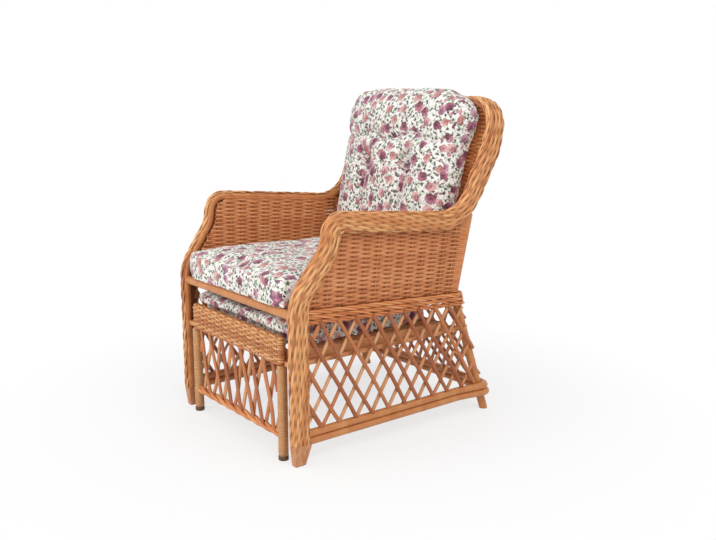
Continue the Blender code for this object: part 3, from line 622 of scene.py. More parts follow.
@dataclass(frozen=True)
class PrintedCloth(Finish):
    """Cotton printed with small roses, leaves and sprigs on an off-white ground."""

    name: str = "rose_print_cotton"
    ground: str = "F3F0EA"
    stem: str = "7F8A74"
    worn: str = "D8D2C8"
    drift: tuple = (0.010, 0.010, 0.0)  # how far the print wanders
    layers: tuple = (
        Leaves(0.0088, 0.93, length=0.44, width=0.28, bare=0.35, strength=0.85, stops=SPECK_TINTS),
        Leaves(0.0150, 0.31, length=0.42, width=0.20, bare=0.15, stops=SPRIG_TINTS,
               further=((1.9, 0.90), (4.1, 0.75))),
        Leaves(0.0170, 1.37, length=0.44, width=0.22, bare=0.50, strength=0.92, stops=LEAF_TINTS),
        Roses(0.0221, 2.91, filled=0.30, small=0.22, spread=0.12, kinds=BUD_TINTS),
        Roses(0.052, 0.77, 0.6, filled=0.84, small=0.23, spread=0.12, kinds=PINK_TINTS),
        Roses(0.058, 2.13, 0.6, filled=0.74, small=0.22, spread=0.09, kinds=PLUM_TINTS),
    )

    def draw(self, shader: Shader) -> None:
        """Prints thin winding stems and the layers over them, and weaves the threads.

        Args:
            shader: The shader that gets the nodes.
        """
        flat = shader.coordinates("UV")
        wobble = shader.node("ShaderNodeTexNoise", None, {"Vector": flat, "Scale": 70.0, "Detail": 2.0})
        drift = shader.vector_math("SUBTRACT", wobble.outputs[1], (0.5, 0.5, 0.5))
        place = shader.vector_math("ADD", flat, shader.vector_math("MULTIPLY", drift, self.drift))
        vine = shader.noise(place, 42.0, 1.0)
        stem = (vine - 0.5).size().step_down(0.008, 0.022) * 0.6
        tint = shader.mix(stem, colour(self.ground), colour(self.stem))
        for layer in self.layers:
            tint = layer.printed(shader, place, tint)
        u, v, _ = shader.parts(flat)
        threads = (u * 5200.0).sine() * (v * 5200.0).sine()
        slub = shader.noise(flat, 900.0, 2.0)
        shader.bump(threads * 0.5 + slub, 0.18, 0.0006)
        worn = shader.mix(slub * 0.06, tint, colour(self.worn))
        shader.dress(Base_Color=worn, Roughness=0.86 + (slub - 0.5) * 0.1, Sheen_Weight=0.15)


@dataclass(frozen=True)
class Finishes:
    """Every finish of the chair."""

    pole: Cane = Cane("bent_pole", "955428", "C47C44", "DDA468", 0.40, 0.2)
    plait: Cane = Cane("plaited_cane", "A65B2A", "D2884A", "EAB276", 0.44, 0.50, "6A3618")
    weave: Cane = Cane("woven_cane", "B06134", "CF824C", "E1A06A", 0.48, 0.25, "A4623A")
    rope: Cane = Cane("roped_cane", "B46634", "D8894F", "EAA86C", 0.46, 0.35, "7A4220")
    rod: Cane = Cane("lattice_rod", "9A5026", "C07440", "DAA270", 0.46, 0.6)
    wrap: Cane = Cane("leg_winding", "986A40", "C48E5A", "DEB07E", 0.48, 0.4)
    # dark brown under the plait: painted shade seen between its canes
    core: Cane = Cane("core", "5A2E14", "70401C", "8A5026", 0.60, 0.3)
    foot: Timber = Timber("foot_timber", "A8683E", "D49A6C", (60.0, 60.0, 9.0), 0.50)
    board: Timber = Timber("board_timber", "B4744A", "E0A06A", (46.0, 6.0, 46.0), 0.58)
    slat: Timber = Timber("slat_timber", "8A5630", "B98452", (6.0, 46.0, 46.0), 0.60)
    cap: Moulded = Moulded("floor_cap", "4A3422", "7C5A3A")
    print: PrintedCloth = PrintedCloth()


FINISHES = Finishes()


# Making pieces

PAINTED_EDGE_SHADE_POWER = 6  # how narrow the shade painted along a strand's edges is
SHARP_ANGLE = math.radians(65)
JOINT_SWELL = 0.045  # of a pole's radius, at each joint of the cane
JOINT_REACH = 0.004
POLE_WAVER = 0.006  # of a pole's radius


def settle(piece: bpy.types.Object, finish: Finish, body: Body, slot: Slot, *nodes: str) -> bpy.types.Object:
    """Dresses a piece and ties it to the frame.

    Args:
        piece: The finished mesh object.
        finish: Its finish.
        body: The body that carries it.
        slot: The record's finish slot; not used.
        nodes: The solids that it stands for.

    Returns:
        The piece.
    """
    piece.data.materials.clear()
    piece.data.materials.append(finish.material())
    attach(piece, body.value)
    if nodes:
        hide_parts(*nodes)
    LOG.info("%s: %d faces on %s", piece.name, len(piece.data.polygons), body.value)
    return piece


@dataclass
class Strands:
    """Strands of one piece, gathered and then made one mesh."""

    name: str
    sides: int = 6
    seed: int = 1
    painted_edge_shade: float = 0.0  # how much shade is painted along the strands' edges
    places: list = field(default_factory=list)
    faces: list = field(default_factory=list)
    tones: list = field(default_factory=list)
    runs: list = field(default_factory=list)
    painted_shades: list = field(default_factory=list)
    count: int = 0

    def __post_init__(self) -> None:
        """Starts the piece's own random numbers."""
        self.rng = np.random.default_rng(self.seed)

    def add(
        self,
        path: Array,
        normal: Array,
        half_width: Union[float, Array],
        half_thick: Union[float, Array, None] = None,
        closed: bool = False,
        tone: Optional[float] = None,
        over: Union[float, Array] = 0.0,
    ) -> None:
        """Adds one strand of oval section.

        Args:
            path: Points along its middle.
            normal: The way its flat side faces, one for all or one for each point.
            half_width: Half its width.
            half_thick: Half its thickness, the width again if not given.
            closed: Whether it runs back to its start.
            tone: Its tone from 0, dark, to 1, light; random if not given.
            over: From -1, where it dips on the side that its normal faces, to 1, where it stands out there;
                shade is painted on the face where it dips.
        """
        path = np.asarray(path, float)
        along = directions(path, closed)
        across = unit(np.cross(np.broadcast_to(normal, path.shape), along))
        up = np.cross(along, across)
        wide = np.broadcast_to(half_width, len(path))[:, None, None]
        thick = wide if half_thick is None else np.broadcast_to(half_thick, len(path))[:, None, None]
        turns = TURN * np.arange(self.sides) / self.sides
        cosines, sines = np.cos(turns)[None], np.sin(turns)[None]
        ring = cosines[..., None] * wide * across[:, None] + sines[..., None] * thick * up[:, None]
        self.places.append((path[:, None] + ring).reshape(-1, 3))
        rows, s = len(path), self.sides
        at = self.count + np.arange(rows)[:, None] * s + np.arange(s)[None]
        after, right = np.roll(at, -1, 0), np.roll(at, -1, 1)
        quads = np.stack([at, right, np.roll(after, -1, 1), after], -1)
        self.faces += quads[: rows if closed else rows - 1].reshape(-1, 4).tolist()
        if not closed:
            self.faces += [at[0, ::-1].tolist(), at[-1].tolist()]
        self.count += rows * s
        tone = self.rng.random() if tone is None else tone
        self.tones.append(np.full(rows * s, tone))
        self.runs.append(np.repeat(lengths_along(path) + self.rng.random() * 9, s))
        # painted shade, darker on the face where the strand dips and along its edges
        painted_dip_shade = -np.broadcast_to(over, rows)[:, None] * sines
        self.painted_shades.append(np.clip(painted_dip_shade + self.painted_edge_shade * cosines**PAINTED_EDGE_SHADE_POWER, 0, 1).ravel())

    def rope(self, path: Array, normal: Array, radius: float, plies: int, pitch: float) -> None:
        """Adds a rope of plies laid round each other.

        Args:
            path: Points along its middle.
            normal: A way square to the path, to start the turns from.
            radius: The rope's radius.
            plies: How many strands are laid together, two or more.
            pitch: Length of one full turn.
        """
        path = spaced(path, min(pitch / 12, 0.008))
        along = directions(path)
        across = unit(np.cross(np.broadcast_to(normal, path.shape), along))
        up = np.cross(along, across)
        share = 1 / (1 + 1 / math.sin(math.pi / plies))
        run = lengths_along(path)
        start = self.rng.random() * TURN
        for ply in range(plies):
            turn = (TURN * run / pitch + start + TURN * ply / plies)[:, None]
            out = np.cos(turn) * across + np.sin(turn) * up
            self.add(path + out * radius * (1 - share), out, radius * share * 1.04)

    def make(self, finish: Finish, body: Body, slot: Slot, *nodes: str) -> bpy.types.Object:
        """Makes the mesh, dresses it and ties it to the frame.

        Args:
            finish: Its finish.
            body: The body that carries it.
            slot: The record's finish slot.
            nodes: The solids that it stands for.

        Returns:
            The new piece.
        """
        mesh = bpy.data.meshes.new(self.name)
        mesh.from_pydata((np.vstack(self.places) + FRONT_Y * Y_AXIS).tolist(), [], self.faces)
        for name, values in (("tone", self.tones), ("run", self.runs), ("hollow", self.painted_shades)):
            kept = mesh.attributes.new(name, "FLOAT", "POINT")
            kept.data.foreach_set("value", np.concatenate(values).astype(np.float32))
        mesh.shade_smooth()
        mesh.set_sharp_from_angle(angle=SHARP_ANGLE)
        mesh.update()
        piece = bpy.data.objects.new(self.name, mesh)
        bpy.context.scene.collection.objects.link(piece)
        return settle(piece, finish, body, slot, *nodes)


def poled_radius(path: Array, radius: float, joint: float, start: float) -> Array:
    """Radius along a rattan pole, which swells a little at each joint of the cane.

    Args:
        path: Points along the pole.
        radius: Its usual radius.
        joint: Distance between the cane's joints.
        start: Where the first joint is.

    Returns:
        The radius at each point.
    """
    run = lengths_along(path)
    off = (run - start + joint / 2) % joint - joint / 2
    swell = JOINT_SWELL * np.exp(-((off / JOINT_REACH) ** 2))
    return radius * (1 + swell + POLE_WAVER * np.sin(run * 41 + start * 70))


# Frame of poles


@dataclass
class ArmLine:
    """The bent line of poles from the right front foot over the back to the left one."""

    corners: tuple = (
        (0.2945, 0.0, 0.0603),
        (0.2945, 0.0, 0.443),
        (0.305, 0.0905, 0.5735),
        (0.3085, 0.1005, 0.6515),
        (0.292, 0.5795, 0.611),
        (0.300, 0.6815, 0.812),
        (0.303, 0.704, 0.9355),
    )
    radii: tuple = (0.0, 0.10, 0.060, 0.046, 0.12, 0.16, 0.075)
    split_z: float = 0.8595  # above it the band turns with the hoop
    split_reach: float = 0.024  # height in which it does

    def right(self, step: float) -> Array:
        """Points of the right half, up to the corner of the back."""
        return spaced(rounded_line(self.corners[:6], self.radii[:6]), step)

    def whole(self, step: float) -> Array:
        """Points of the whole line."""
        left = [(-x, y, z) for x, y, z in reversed(self.corners)]
        return spaced(rounded_line([*self.corners, *left], [*self.radii, *reversed(self.radii)]), step)

    def outward(self, points: Array) -> Array:
        """Finds the way out of the chair, square to the line.

        Args:
            points: Points of the line.

        Returns:
            The way out at each point.
        """
        along = directions(points)
        rise = unit(np.array(self.corners[6]) - np.array(self.corners[5]))
        facing = unit(np.cross(rise, X_AXIS))
        side = np.where(points[:, :1] < 0, -1.0, 1.0) * X_AXIS
        side = unit(side - along * np.sum(side * along, 1, keepdims=True))
        top = unit(np.cross(along, -facing))
        share = np.clip((points[:, 2:] - self.split_z + self.split_reach / 2) / self.split_reach, 0, 1)
        return unit(side * (1 - share) + top * share)


ARM_LINE = ArmLine()


@dataclass
class RearPost:
    """A splayed rear leg and the reclined post above it, in one bent pole."""

    foot: tuple = (0.290, 0.7065, 0.0)
    bend: tuple = (0.272, 0.5795, 0.392)
    top: tuple = (0.27544, 0.65803, 0.735)
    bend_r: float = 0.10

    @property
    def slope(self) -> float:
        """How far the post leans back for each metre of height."""
        return (self.top[1] - self.bend[1]) / (self.top[2] - self.bend[2])

    def axis(self, z: float) -> Array:
        """Finds the pole's middle on the right.

        Args:
            z: Height.

        Returns:
            The place.
        """
        low, high = (self.foot, self.bend) if z < self.bend[2] else (self.bend, self.top)
        low, high = np.array(low), np.array(high)
        return low + (high - low) * (z - low[2]) / (high[2] - low[2])

    def path(self) -> Array:
        """Points along the right pole."""
        return spaced(rounded_line([self.foot, self.bend, self.top], [0, self.bend_r, 0]), 0.004)


REAR_POST = RearPost()
WALE_FRONT_Z = 0.377  # lower edge of the wale
WALE_REAR_Z = 0.346
WALE_BACK_Y = 0.6045  # where the wale turns along the back


def back_plane(z: Union[float, Array]) -> Union[float, Array]:
    """Y of the back's plane at a height."""
    return REAR_POST.bend[1] + REAR_POST.slope * (z - REAR_POST.bend[2])


def wale_low(y: Union[float, Array]) -> Union[float, Array]:
    """Lower edge of the wale along the side."""
    return WALE_FRONT_Z + (WALE_REAR_Z - WALE_FRONT_Z) * y / REAR_POST.bend[1]


@dataclass
class Poles:
    """Smooth bent poles and seat rails."""

    sides: int = 18
    step: float = 0.004
    rail_r: float = 0.012
    side_rail_r: float = 0.011
    front_rail: tuple = (0.2817, 0.0, 0.405)  # right end
    rear_rail: tuple = (0.2592, back_plane(0.388), 0.388)  # right end
    side_rail: tuple = ((0.2664, 0.0123, 0.398), (0.2664, 0.5664, 0.388))  # ends on the right

    def build(self) -> None:
        """Makes the arm and hoop poles, the rear posts and the seat's rails."""
        bent = Strands("bent_poles", self.sides, 11)
        path = ARM_LINE.whole(self.step)
        bent.add(path, ARM_LINE.outward(path), poled_radius(path, POLE_R, 0.26, 0.12), tone=0.55)
        bent.make(FINISHES.pole, Body.CHAIR, Slot.RATTAN, "arm_pole_left", "arm_pole_right", "back_hoop_pole")
        posts = Strands("rear_posts", self.sides, 12)
        for side in Side:
            path = REAR_POST.path() * side.flip
            posts.add(path, X_AXIS, poled_radius(path, POLE_R, 0.24, 0.17), tone=0.5)
            level = posts.places[-1][: self.sides]
            level[:, 2] = 0.0
        posts.make(FINISHES.pole, Body.CHAIR, Slot.RATTAN, "rear_post_left", "rear_post_right")
        rails = Strands("seat_rails", self.sides, 13)
        across = (self.front_rail, self.rear_rail)
        ends = [(np.array(end) * Side.LEFT.flip, end, self.rail_r) for end in across]
        ends += [(*np.array(self.side_rail) * side.flip, self.side_rail_r) for side in Side]
        for number, (start, end, radius) in enumerate(ends):
            path = spaced(np.array((start, end)), self.step)
            rails.add(path, Z_AXIS, poled_radius(path, radius, 0.21, 0.07 + 0.05 * number), tone=0.6)
        nodes = ["seat_front_rail", "seat_rear_rail", "seat_side_rail_left", "seat_side_rail_right"]
        rails.make(FINISHES.pole, Body.CHAIR, Slot.RATTAN, *nodes)


@dataclass
class FrontFeet:
    """Tapered wooden feet below the front posts."""

    height: float = 0.060
    outer: float = 0.3135
    front: float = -0.0115
    top: tuple = (0.032, 0.054)  # deep, wide
    tip: tuple = (0.020, 0.033)
    taper_out: float = 0.009
    taper_front: float = 0.005
    edge: float = 0.0035

    def build(self) -> None:
        """Shapes each foot from a block by drawing its lower end in and easing its edges."""
        for side in Side:
            bpy.ops.object.select_all(action="DESELECT")
            bpy.ops.mesh.primitive_cube_add(size=1)
            foot = bpy.context.object
            foot.name = foot.data.name = f"tapered_foot_{side.word}"
            for vert in foot.data.vertices:
                low = vert.co.z < 0
                deep, wide = self.tip if low else self.top
                out = self.outer - (self.taper_out if low else 0)
                front = self.front + (self.taper_front if low else 0)
                x = out if vert.co.x * side.value > 0 else out - deep
                y = front + wide if vert.co.y > 0 else front
                vert.co = (x * side.value, y + FRONT_Y, 0 if low else self.height)
            bpy.ops.object.mode_set(mode="EDIT")
            bpy.ops.mesh.select_all(action="SELECT")
            bpy.ops.mesh.normals_make_consistent()
            bpy.ops.mesh.bevel(offset=self.edge, segments=3, affect="EDGES")
            bpy.ops.object.mode_set(mode="OBJECT")
            bpy.ops.object.shade_smooth_by_angle(angle=math.radians(30))
            settle(foot, FINISHES.foot, Body.CHAIR, Slot.TIMBER, f"front_foot_{side.word}")


# Plait, weave and ropes


@dataclass
class Border:
    """Band of long canes laid side by side round the poles, each dipping under its neighbours by turns."""

    strands: int = 14  # side by side across the band
    lay: float = 0.80  # length in which a cane drifts across the band
    beat: float = 0.062  # length of one dip and rise
    stray: float = 0.6  # how far a cane's beat wanders, in radians
    stray_run: float = 0.12  # length in which it does
    half_width: float = 0.0041
    half_thick: float = 0.0025
    swing: float = 0.0015
    shade: float = 0.6  # how dark the shade painted in a dip is
    taper: float = 0.06  # share of the drift in which a cane's ends narrow and sink
    sink: float = 0.0045
    step: float = 0.0062
    fewest: int = 6  # points of the shortest cane
    hoop_wider: tuple = (0.25, 0.12)  # in front of and behind the pole
    hoop_rise: tuple = (0.66, 0.74)  # heights between which the band widens
    core_step: float = 0.012
    core: tuple = (0.0052, -0.0150, 0.0195, 0.0080)  # dark core that paints the shade seen between the canes: outward, forward, half width, half thickness
    profile: tuple = (
        (-0.0092, 0.0116),
        (-0.0045, 0.0140),
        (0.0005, 0.0147),
        (0.0058, 0.0135),
        (0.0106, 0.0102),
        (0.0138, 0.0050),
        (0.0152, -0.0005),
        (0.0158, -0.0150),
        (0.0152, -0.0290),
        (0.0125, -0.0350),
        (0.0070, -0.0372),
        (0.0010, -0.0372),
        (-0.0035, -0.0345),
    )  # (outward, forward) from the pole's axis

    def ways(self, step: float) -> tuple[Array, Array, Array]:
        """Follows the arm line.

        Args:
            step: Distance between its points.

        Returns:
            The points, and the ways outward and forward at each.
        """
        line = ARM_LINE.whole(step)
        out = ARM_LINE.outward(line)
        return line, out, np.cross(out, directions(line))

    def build(self) -> None:
        """Makes the canes over a dark core, which paints the shade seen between them."""
        # the last number sets the shade painted along each cane's edges
        band = Strands("plaited_border", 8, 21, 1.0)
        line, out, fore = self.ways(self.step)
        run = lengths_along(line)
        section = spaced(np.array(self.profile), 0.0008)
        slope = directions(section)
        shape = np.column_stack([section, -slope[:, 1], slope[:, 0]])
        hoop = np.clip((line[:, 2] - self.hoop_rise[0]) / np.ptp(self.hoop_rise), 0, 1)
        turns = math.ceil(run[-1] / self.lay)
        knots = np.arange(0, run[-1] + 0.2, self.stray_run)
        for strand in range(-turns * self.strands, self.strands):
            share = strand / self.strands + run / self.lay
            kept = (share >= 0) & (share <= 1)
            wander = np.interp(run, knots, band.rng.normal(0, self.stray, len(knots)))
            if kept.sum() < self.fewest:
                continue
            at = share[kept] * (len(section) - 1)
            columns = (np.interp(at, np.arange(len(section)), column) for column in shape.T)
            rise, ahead, face_out, face_fore = columns
            wider = np.where(ahead > 0, *self.hoop_wider) * hoop[kept]
            over = np.cos(TURN * run[kept] / self.beat + np.pi * strand + wander[kept])
            normal = face_out[:, None] * out[kept] + face_fore[:, None] * fore[kept]
            rise = rise[:, None] * out[kept] + (ahead * (1 + wider))[:, None] * fore[kept]
            sunk = 1 - np.clip(np.minimum(share, 1 - share)[kept] / self.taper, 0, 1)
            path = line[kept] + rise + (self.swing * over - self.sink * sunk)[:, None] * normal
            width = self.half_width * (1 - sunk / 2)
            # shade is painted where a cane dips under its neighbours
            band.add(path, normal, width, self.half_thick, over=over * np.abs(over) * self.shade)
        band.make(FINISHES.plait, Body.CHAIR, Slot.PLAIT, "border_left", "border_right", "border_top")
        # dark strip behind the canes, standing in for the shade between them
        core = Strands("border_painted_shade_core", 12, 22)
        line, out, fore = self.ways(self.core_step)
        outward, forward, half_width, half_thick = self.core
        core.add(line + out * outward + fore * forward, out, half_width, half_thick, tone=0.5)
        core.make(FINISHES.core, Body.CHAIR, Slot.PLAIT)


@dataclass
class Weave:
    """What the woven panels share."""

    stake_r: float = 0.0022
    half_height: float = 0.0037
    half_thick: float = 0.0020
    swing: float = 0.0033
    step: float = 0.0082
    stake_step: float = 0.02
    uneven: float = 0.00025  # how far a row strays up and down
    # shade painted along the edges of each row and stake
    painted_edge_shade: float = 0.3


@dataclass
class SideWeave(Weave):
    """Woven side between the post, the arm, the rear post and the wale."""

    stakes: int = 14
    front_y: float = 0.0133
    low_rear_y: float = 0.5645
    high_rear_y: float = 0.6080
    far_y: float = 0.70  # past the rearmost end of a row
    rows: int = 40
    open_bays: float = 2.6  # at the rear, where the rows are thinner
    open_height: float = 0.0029
    wale_height: float = 0.040
    inset: float = 0.0103  # from the arm's axis
    tuck: float = 0.0140  # from the arm's axis to where the rows start
    lap: float = 0.006  # of the rows over the arm's axis
    arm_low: float = 0.55
    arm_rear: float = 0.52
    free_y: float = 0.5  # behind it the rows pass inside the arm
    near_post: float = 0.045  # in which the rows turn towards the rear post
    calm_run: float = 0.02  # in which they stop swinging there
    post_gap: float = 0.0026

    def middle_x(self, y: Array, z: Array) -> Array:
        """Middle of the right panel, upright below and leaning out with the arm above.

        Args:
            y: Place from front to back.
            z: Height.

        Returns:
            X of the middle.
        """
        bend, _, front, rear = ARM_LINE.corners[1:5]
        share = np.clip((y - front[1]) / (rear[1] - front[1]), 0, 1)
        spread = front[0] + (rear[0] - front[0]) * share - bend[0]
        rise = np.clip((z - bend[2]) / (front[2] - bend[2]), 0, 1)
        return bend[0] + spread * np.where(spread > 0, rise, 1) - self.inset

    def top(self, y: Array) -> Array:
        """Height of the weave's upper edge under the arm.

        Args:
            y: Place from front to back.

        Returns:
            The height.
        """
        front, rear = ARM_LINE.corners[3:5]
        fall = (front[2] - rear[2]) / (rear[1] - front[1])
        return front[2] + self.lap - fall * (y - front[1])

    def arm(self, y: Array) -> tuple[Array, Array]:
        """The arm pole's axis above a place on the panel.

        Args:
            y: Place from front to back.

        Returns:
            X and z of the axis.
        """
        line = ARM_LINE.right(0.003)
        line = line[(line[:, 2] > self.arm_low) & (line[:, 1] < self.arm_rear)]
        return np.interp(y, line[:, 1], line[:, 0]), np.interp(y, line[:, 1], line[:, 2])

    def bay(self, y: Array, z: Array) -> Array:
        """How many stakes in from the front a point is; the stakes fan out upwards.

        Args:
            y: Place from front to back.
            z: Height.

        Returns:
            The count, with its share of a bay.
        """
        low = wale_low(y) + self.wale_height
        share = np.clip((z - low) / (self.top(y) - low), 0, 1)
        rear = self.low_rear_y + (self.high_rear_y - self.low_rear_y) * share
        return (y - self.front_y) / (rear - self.front_y) * self.stakes

    def stake(self, number: int) -> Array:
        """Finds one stake.

        Args:
            number: The stake, counted from the front.

        Returns:
            Its foot and head, as (y, z).
        """
        share = (number + 0.5) / self.stakes
        low = self.front_y + (self.low_rear_y - self.front_y) * share
        high = self.front_y + (self.high_rear_y - self.front_y) * share
        return np.array(((low, self.height(low, -0.05)), (high, self.height(high, 0.97))))

    def height(self, y: Array, share: float) -> Array:
        """Height of a row, given as a share of the way up."""
        low = wale_low(y) + self.wale_height
        return low + (self.top(y) - low) * share

    def front(self) -> tuple[Array, Array]:
        """Finds the line under the band where the rows start.

        Returns:
            Its heights and y.
        """
        line = ARM_LINE.right(0.006)
        edge = line - np.cross(ARM_LINE.outward(line), directions(line)) * self.tuck
        rising = edge[edge[:, 1] < ARM_LINE.corners[3][1] + ARM_LINE.radii[3]]
        rising = rising[: int(np.argmax(rising[:, 2])) + 1]
        return rising[:, 2], rising[:, 1]

    def row(self, number: int) -> tuple[Array, Array, Array, Array]:
        """One weaver, ending round the rear post.

        Args:
            number: The row, counted from the wale.

        Returns:
            Its path, its normals, where it stands out or dips, and half its height.
        """
        y = np.linspace(0.0, self.far_y, 700)
        z = self.height(y, (number + 0.5) / self.rows)
        kept = (y >= np.interp(z, *self.front())) & (y <= back_plane(z))
        kept &= (z <= self.arm(y)[1] + self.lap) | (y > self.free_y)
        y, z = y[kept], z[kept]
        post = REAR_POST.axis(float(z[-1]))
        near = np.clip((y - post[1] + self.near_post) / self.near_post, 0, 1)
        radius = POLE_R + self.post_gap
        x = self.middle_x(y, z) * (1 - near) + (post[0] + radius) * near
        round_post = level_arc(post, radius, np.arange(15, 121, 15))
        path = spaced(np.vstack([np.column_stack([x, y, z]), round_post]), self.step)
        normal = np.cross(directions(path), Z_AXIS)
        calm = np.clip((post[1] - path[:, 1]) / self.calm_run, 0, 1) * (path[:, 1] < post[1])
        bay = self.bay(path[:, 1], path[:, 2])
        over = np.sin(np.pi * (bay + number)) * calm
        path = path + unit(normal) * (self.swing * over)[:, None]
        pole_x, pole_z = self.arm(path[:, 1])
        reach = (POLE_R + self.half_thick) ** 2 - (path[:, 2] - pole_z) ** 2
        clear = (reach > 0) & (path[:, 1] < self.arm_rear)
        inner = np.minimum(path[:, 0], pole_x - np.sqrt(np.maximum(reach, 0)))
        path[:, 0] = np.where(clear, inner, path[:, 0])
        opened = np.clip(bay - self.stakes + self.open_bays, 0, 1) * calm
        height = self.half_height + (self.open_height - self.half_height) * opened
        return path, unit(normal), over, height

    def build(self) -> None:
        """Makes both sides."""
        for side in Side:
            weave = Strands(f"side_weave_{side.word}", 6, 31 + side.value, self.painted_edge_shade)
            for number in range(self.rows):
                path, normal, over, height = self.row(number)
                path[:, 2] += weave.rng.normal(0, self.uneven, len(path))
                # shade is painted where a row dips behind a stake
                weave.add(path * side.flip, normal * side.flip, height, self.half_thick, over=over**3)
            for number in range(self.stakes):
                y, z = spaced(self.stake(number), 0.0015).T
                kept = (y >= np.interp(z, *self.front()) - 0.006) & (y < back_plane(z) - 0.010)
                y, z = y[kept], z[kept]
                path = spaced(np.column_stack([self.middle_x(y, z), y, z]), self.stake_step)
                weave.add(path * side.flip, X_AXIS * side.flip, self.stake_r)
            weave.make(FINISHES.weave, Body.CHAIR, Slot.WEAVE, f"side_panel_{side.word}")


@dataclass
class BackWeave(Weave):
    """Woven back between the rear posts and inside the hoop."""

    stakes: int = 13
    low: float = 0.3965
    high: float = 0.926
    pitch: float = 0.0059
    straight: float = 0.8605  # above it the corners are round
    corner_r: float = 0.075
    widest: float = 0.3007
    margin: float = 0.004
    top_margin: float = 0.006

    def half(self, z: float) -> float:
        """Half width, to the middle of the post or pole.

        Args:
            z: Height.

        Returns:
            The half width.
        """
        if z < REAR_POST.top[2]:
            return float(REAR_POST.axis(z)[0])
        xs, _, heights = zip(*ARM_LINE.corners[4:])
        over = min(max(z - self.straight, 0), self.corner_r)
        middle = min(np.interp(z, heights, xs), self.widest) - self.corner_r
        return middle + math.sqrt(self.corner_r**2 - over**2)

    def build(self) -> None:
        """Makes the rows and stakes."""
        weave = Strands("back_weave", 6, 41, self.painted_edge_shade)
        for number in range(int((self.high - self.low) / self.pitch)):
            z = self.low + (number + 0.5) * self.pitch
            half = self.half(z) - self.margin
            x = np.linspace(-half, half, max(8, round(2 * half / self.step)))
            over = -np.sin(np.pi * ((x / half + 1) * self.stakes / 2 + number))
            y = back_plane(z) - self.swing * over
            path = np.column_stack([x, y, z + weave.rng.normal(0, self.uneven, len(x))])
            # shade is painted where a row dips behind a stake
            weave.add(path, -Y_AXIS, self.half_height, self.half_thick, over=over**3)
        for stake in range(self.stakes):
            share = (2 * stake + 1) / self.stakes - 1
            z = np.linspace(self.low - 0.015, self.straight, 40)
            x = np.array([share * (self.half(h) - self.margin) for h in z])
            rise = np.linspace(self.straight, self.high + 0.005, 40)[1:]
            rise = np.array([h for h in rise if abs(x[-1]) < self.half(h) - self.top_margin])
            x, z = np.concatenate([x, np.full(len(rise), x[-1])]), np.concatenate([z, rise])
            path = spaced(np.column_stack([x, back_plane(z), z]), self.stake_step)
            weave.add(path, -Y_AXIS, self.stake_r)
        weave.make(FINISHES.weave, Body.CHAIR, Slot.WEAVE, "back_panel")


@dataclass
class Wale:
    """Three roped rows under the weave, round the sides and the back."""

    rows: int = 3
    row_height: float = 0.01333
    radius: float = 0.0069
    out_x: float = 0.2936
    front: float = 0.036
    back_y: float = 0.5985
    back_in: float = 0.022  # from the rear post to where the back's straight run starts
    plies: int = 3
    pitch: float = 0.125

    def build(self) -> None:
        """Makes the rows as ropes that pass outside the rear posts."""
        wale = Strands("roped_wale", 8, 51, 0.2)
        for row in range(self.rows):
            up = (row + 0.5) * self.row_height
            post = REAR_POST.axis(float(wale_low(WALE_BACK_Y)) + up)
            y = np.linspace(self.front, post[1] - 0.004, 60)
            side = np.column_stack([np.full(60, self.out_x), y, wale_low(y) + up])
            corner = level_arc(post, self.out_x - post[0], np.arange(0, 91, 10))
            corner[:, 2] = side[-1, 2]
            inner = np.array([(post[0] - self.back_in, self.back_y, side[-1, 2])])
            path = both_sides(np.vstack([side, corner, inner]))
            wale.rope(spaced(path, 0.006), Z_AXIS, self.radius, self.plies, self.pitch)
        wale.make(FINISHES.rope, Body.CHAIR, Slot.WEAVE, "wale_left", "wale_right", "wale_back")


@dataclass
class LowRails:
    """Two stacked poles low on the sides and the back."""

    heights: tuple = (0.0605, 0.0818)
    radius: float = 0.0108
    x: float = 0.2946
    front: float = 0.034
    turn_in: float = 0.09  # from where the rail leaves its straight run to the rear leg
    smoothing: int = 6

    def build(self) -> None:
        """Makes each rail as one bent pole that turns round the outside of the rear legs."""
        for level, z in zip(("lower", "upper"), self.heights):
            rail = Strands(f"low_rail_{level}", 14, 61)
            leg = REAR_POST.axis(z)
            corner = level_arc(leg, POLE_R + self.radius, np.arange(0, 91, 10), 1.05)
            start = np.array([(self.x, self.front, z), (self.x, leg[1] - self.turn_in, z)])
            path = spaced(both_sides(np.vstack([start, corner])), 0.006)
            for _ in range(self.smoothing):
                path[1:-1] = (path[:-2] + 2 * path[1:-1] + path[2:]) / 4
            rail.add(path, Z_AXIS, poled_radius(path, self.radius, 0.23, z * 3), tone=0.6)
            nodes = [f"bottom_rail_{way}_{level}" for way in ("left", "right", "rear")]
            rail.make(FINISHES.pole, Body.CHAIR, Slot.RATTAN, *nodes)


# Lattice

LATTICE_PITCH = 0.0574
LATTICE_SHIFT = 0.168
LATTICE_LOW_Z = 0.0926


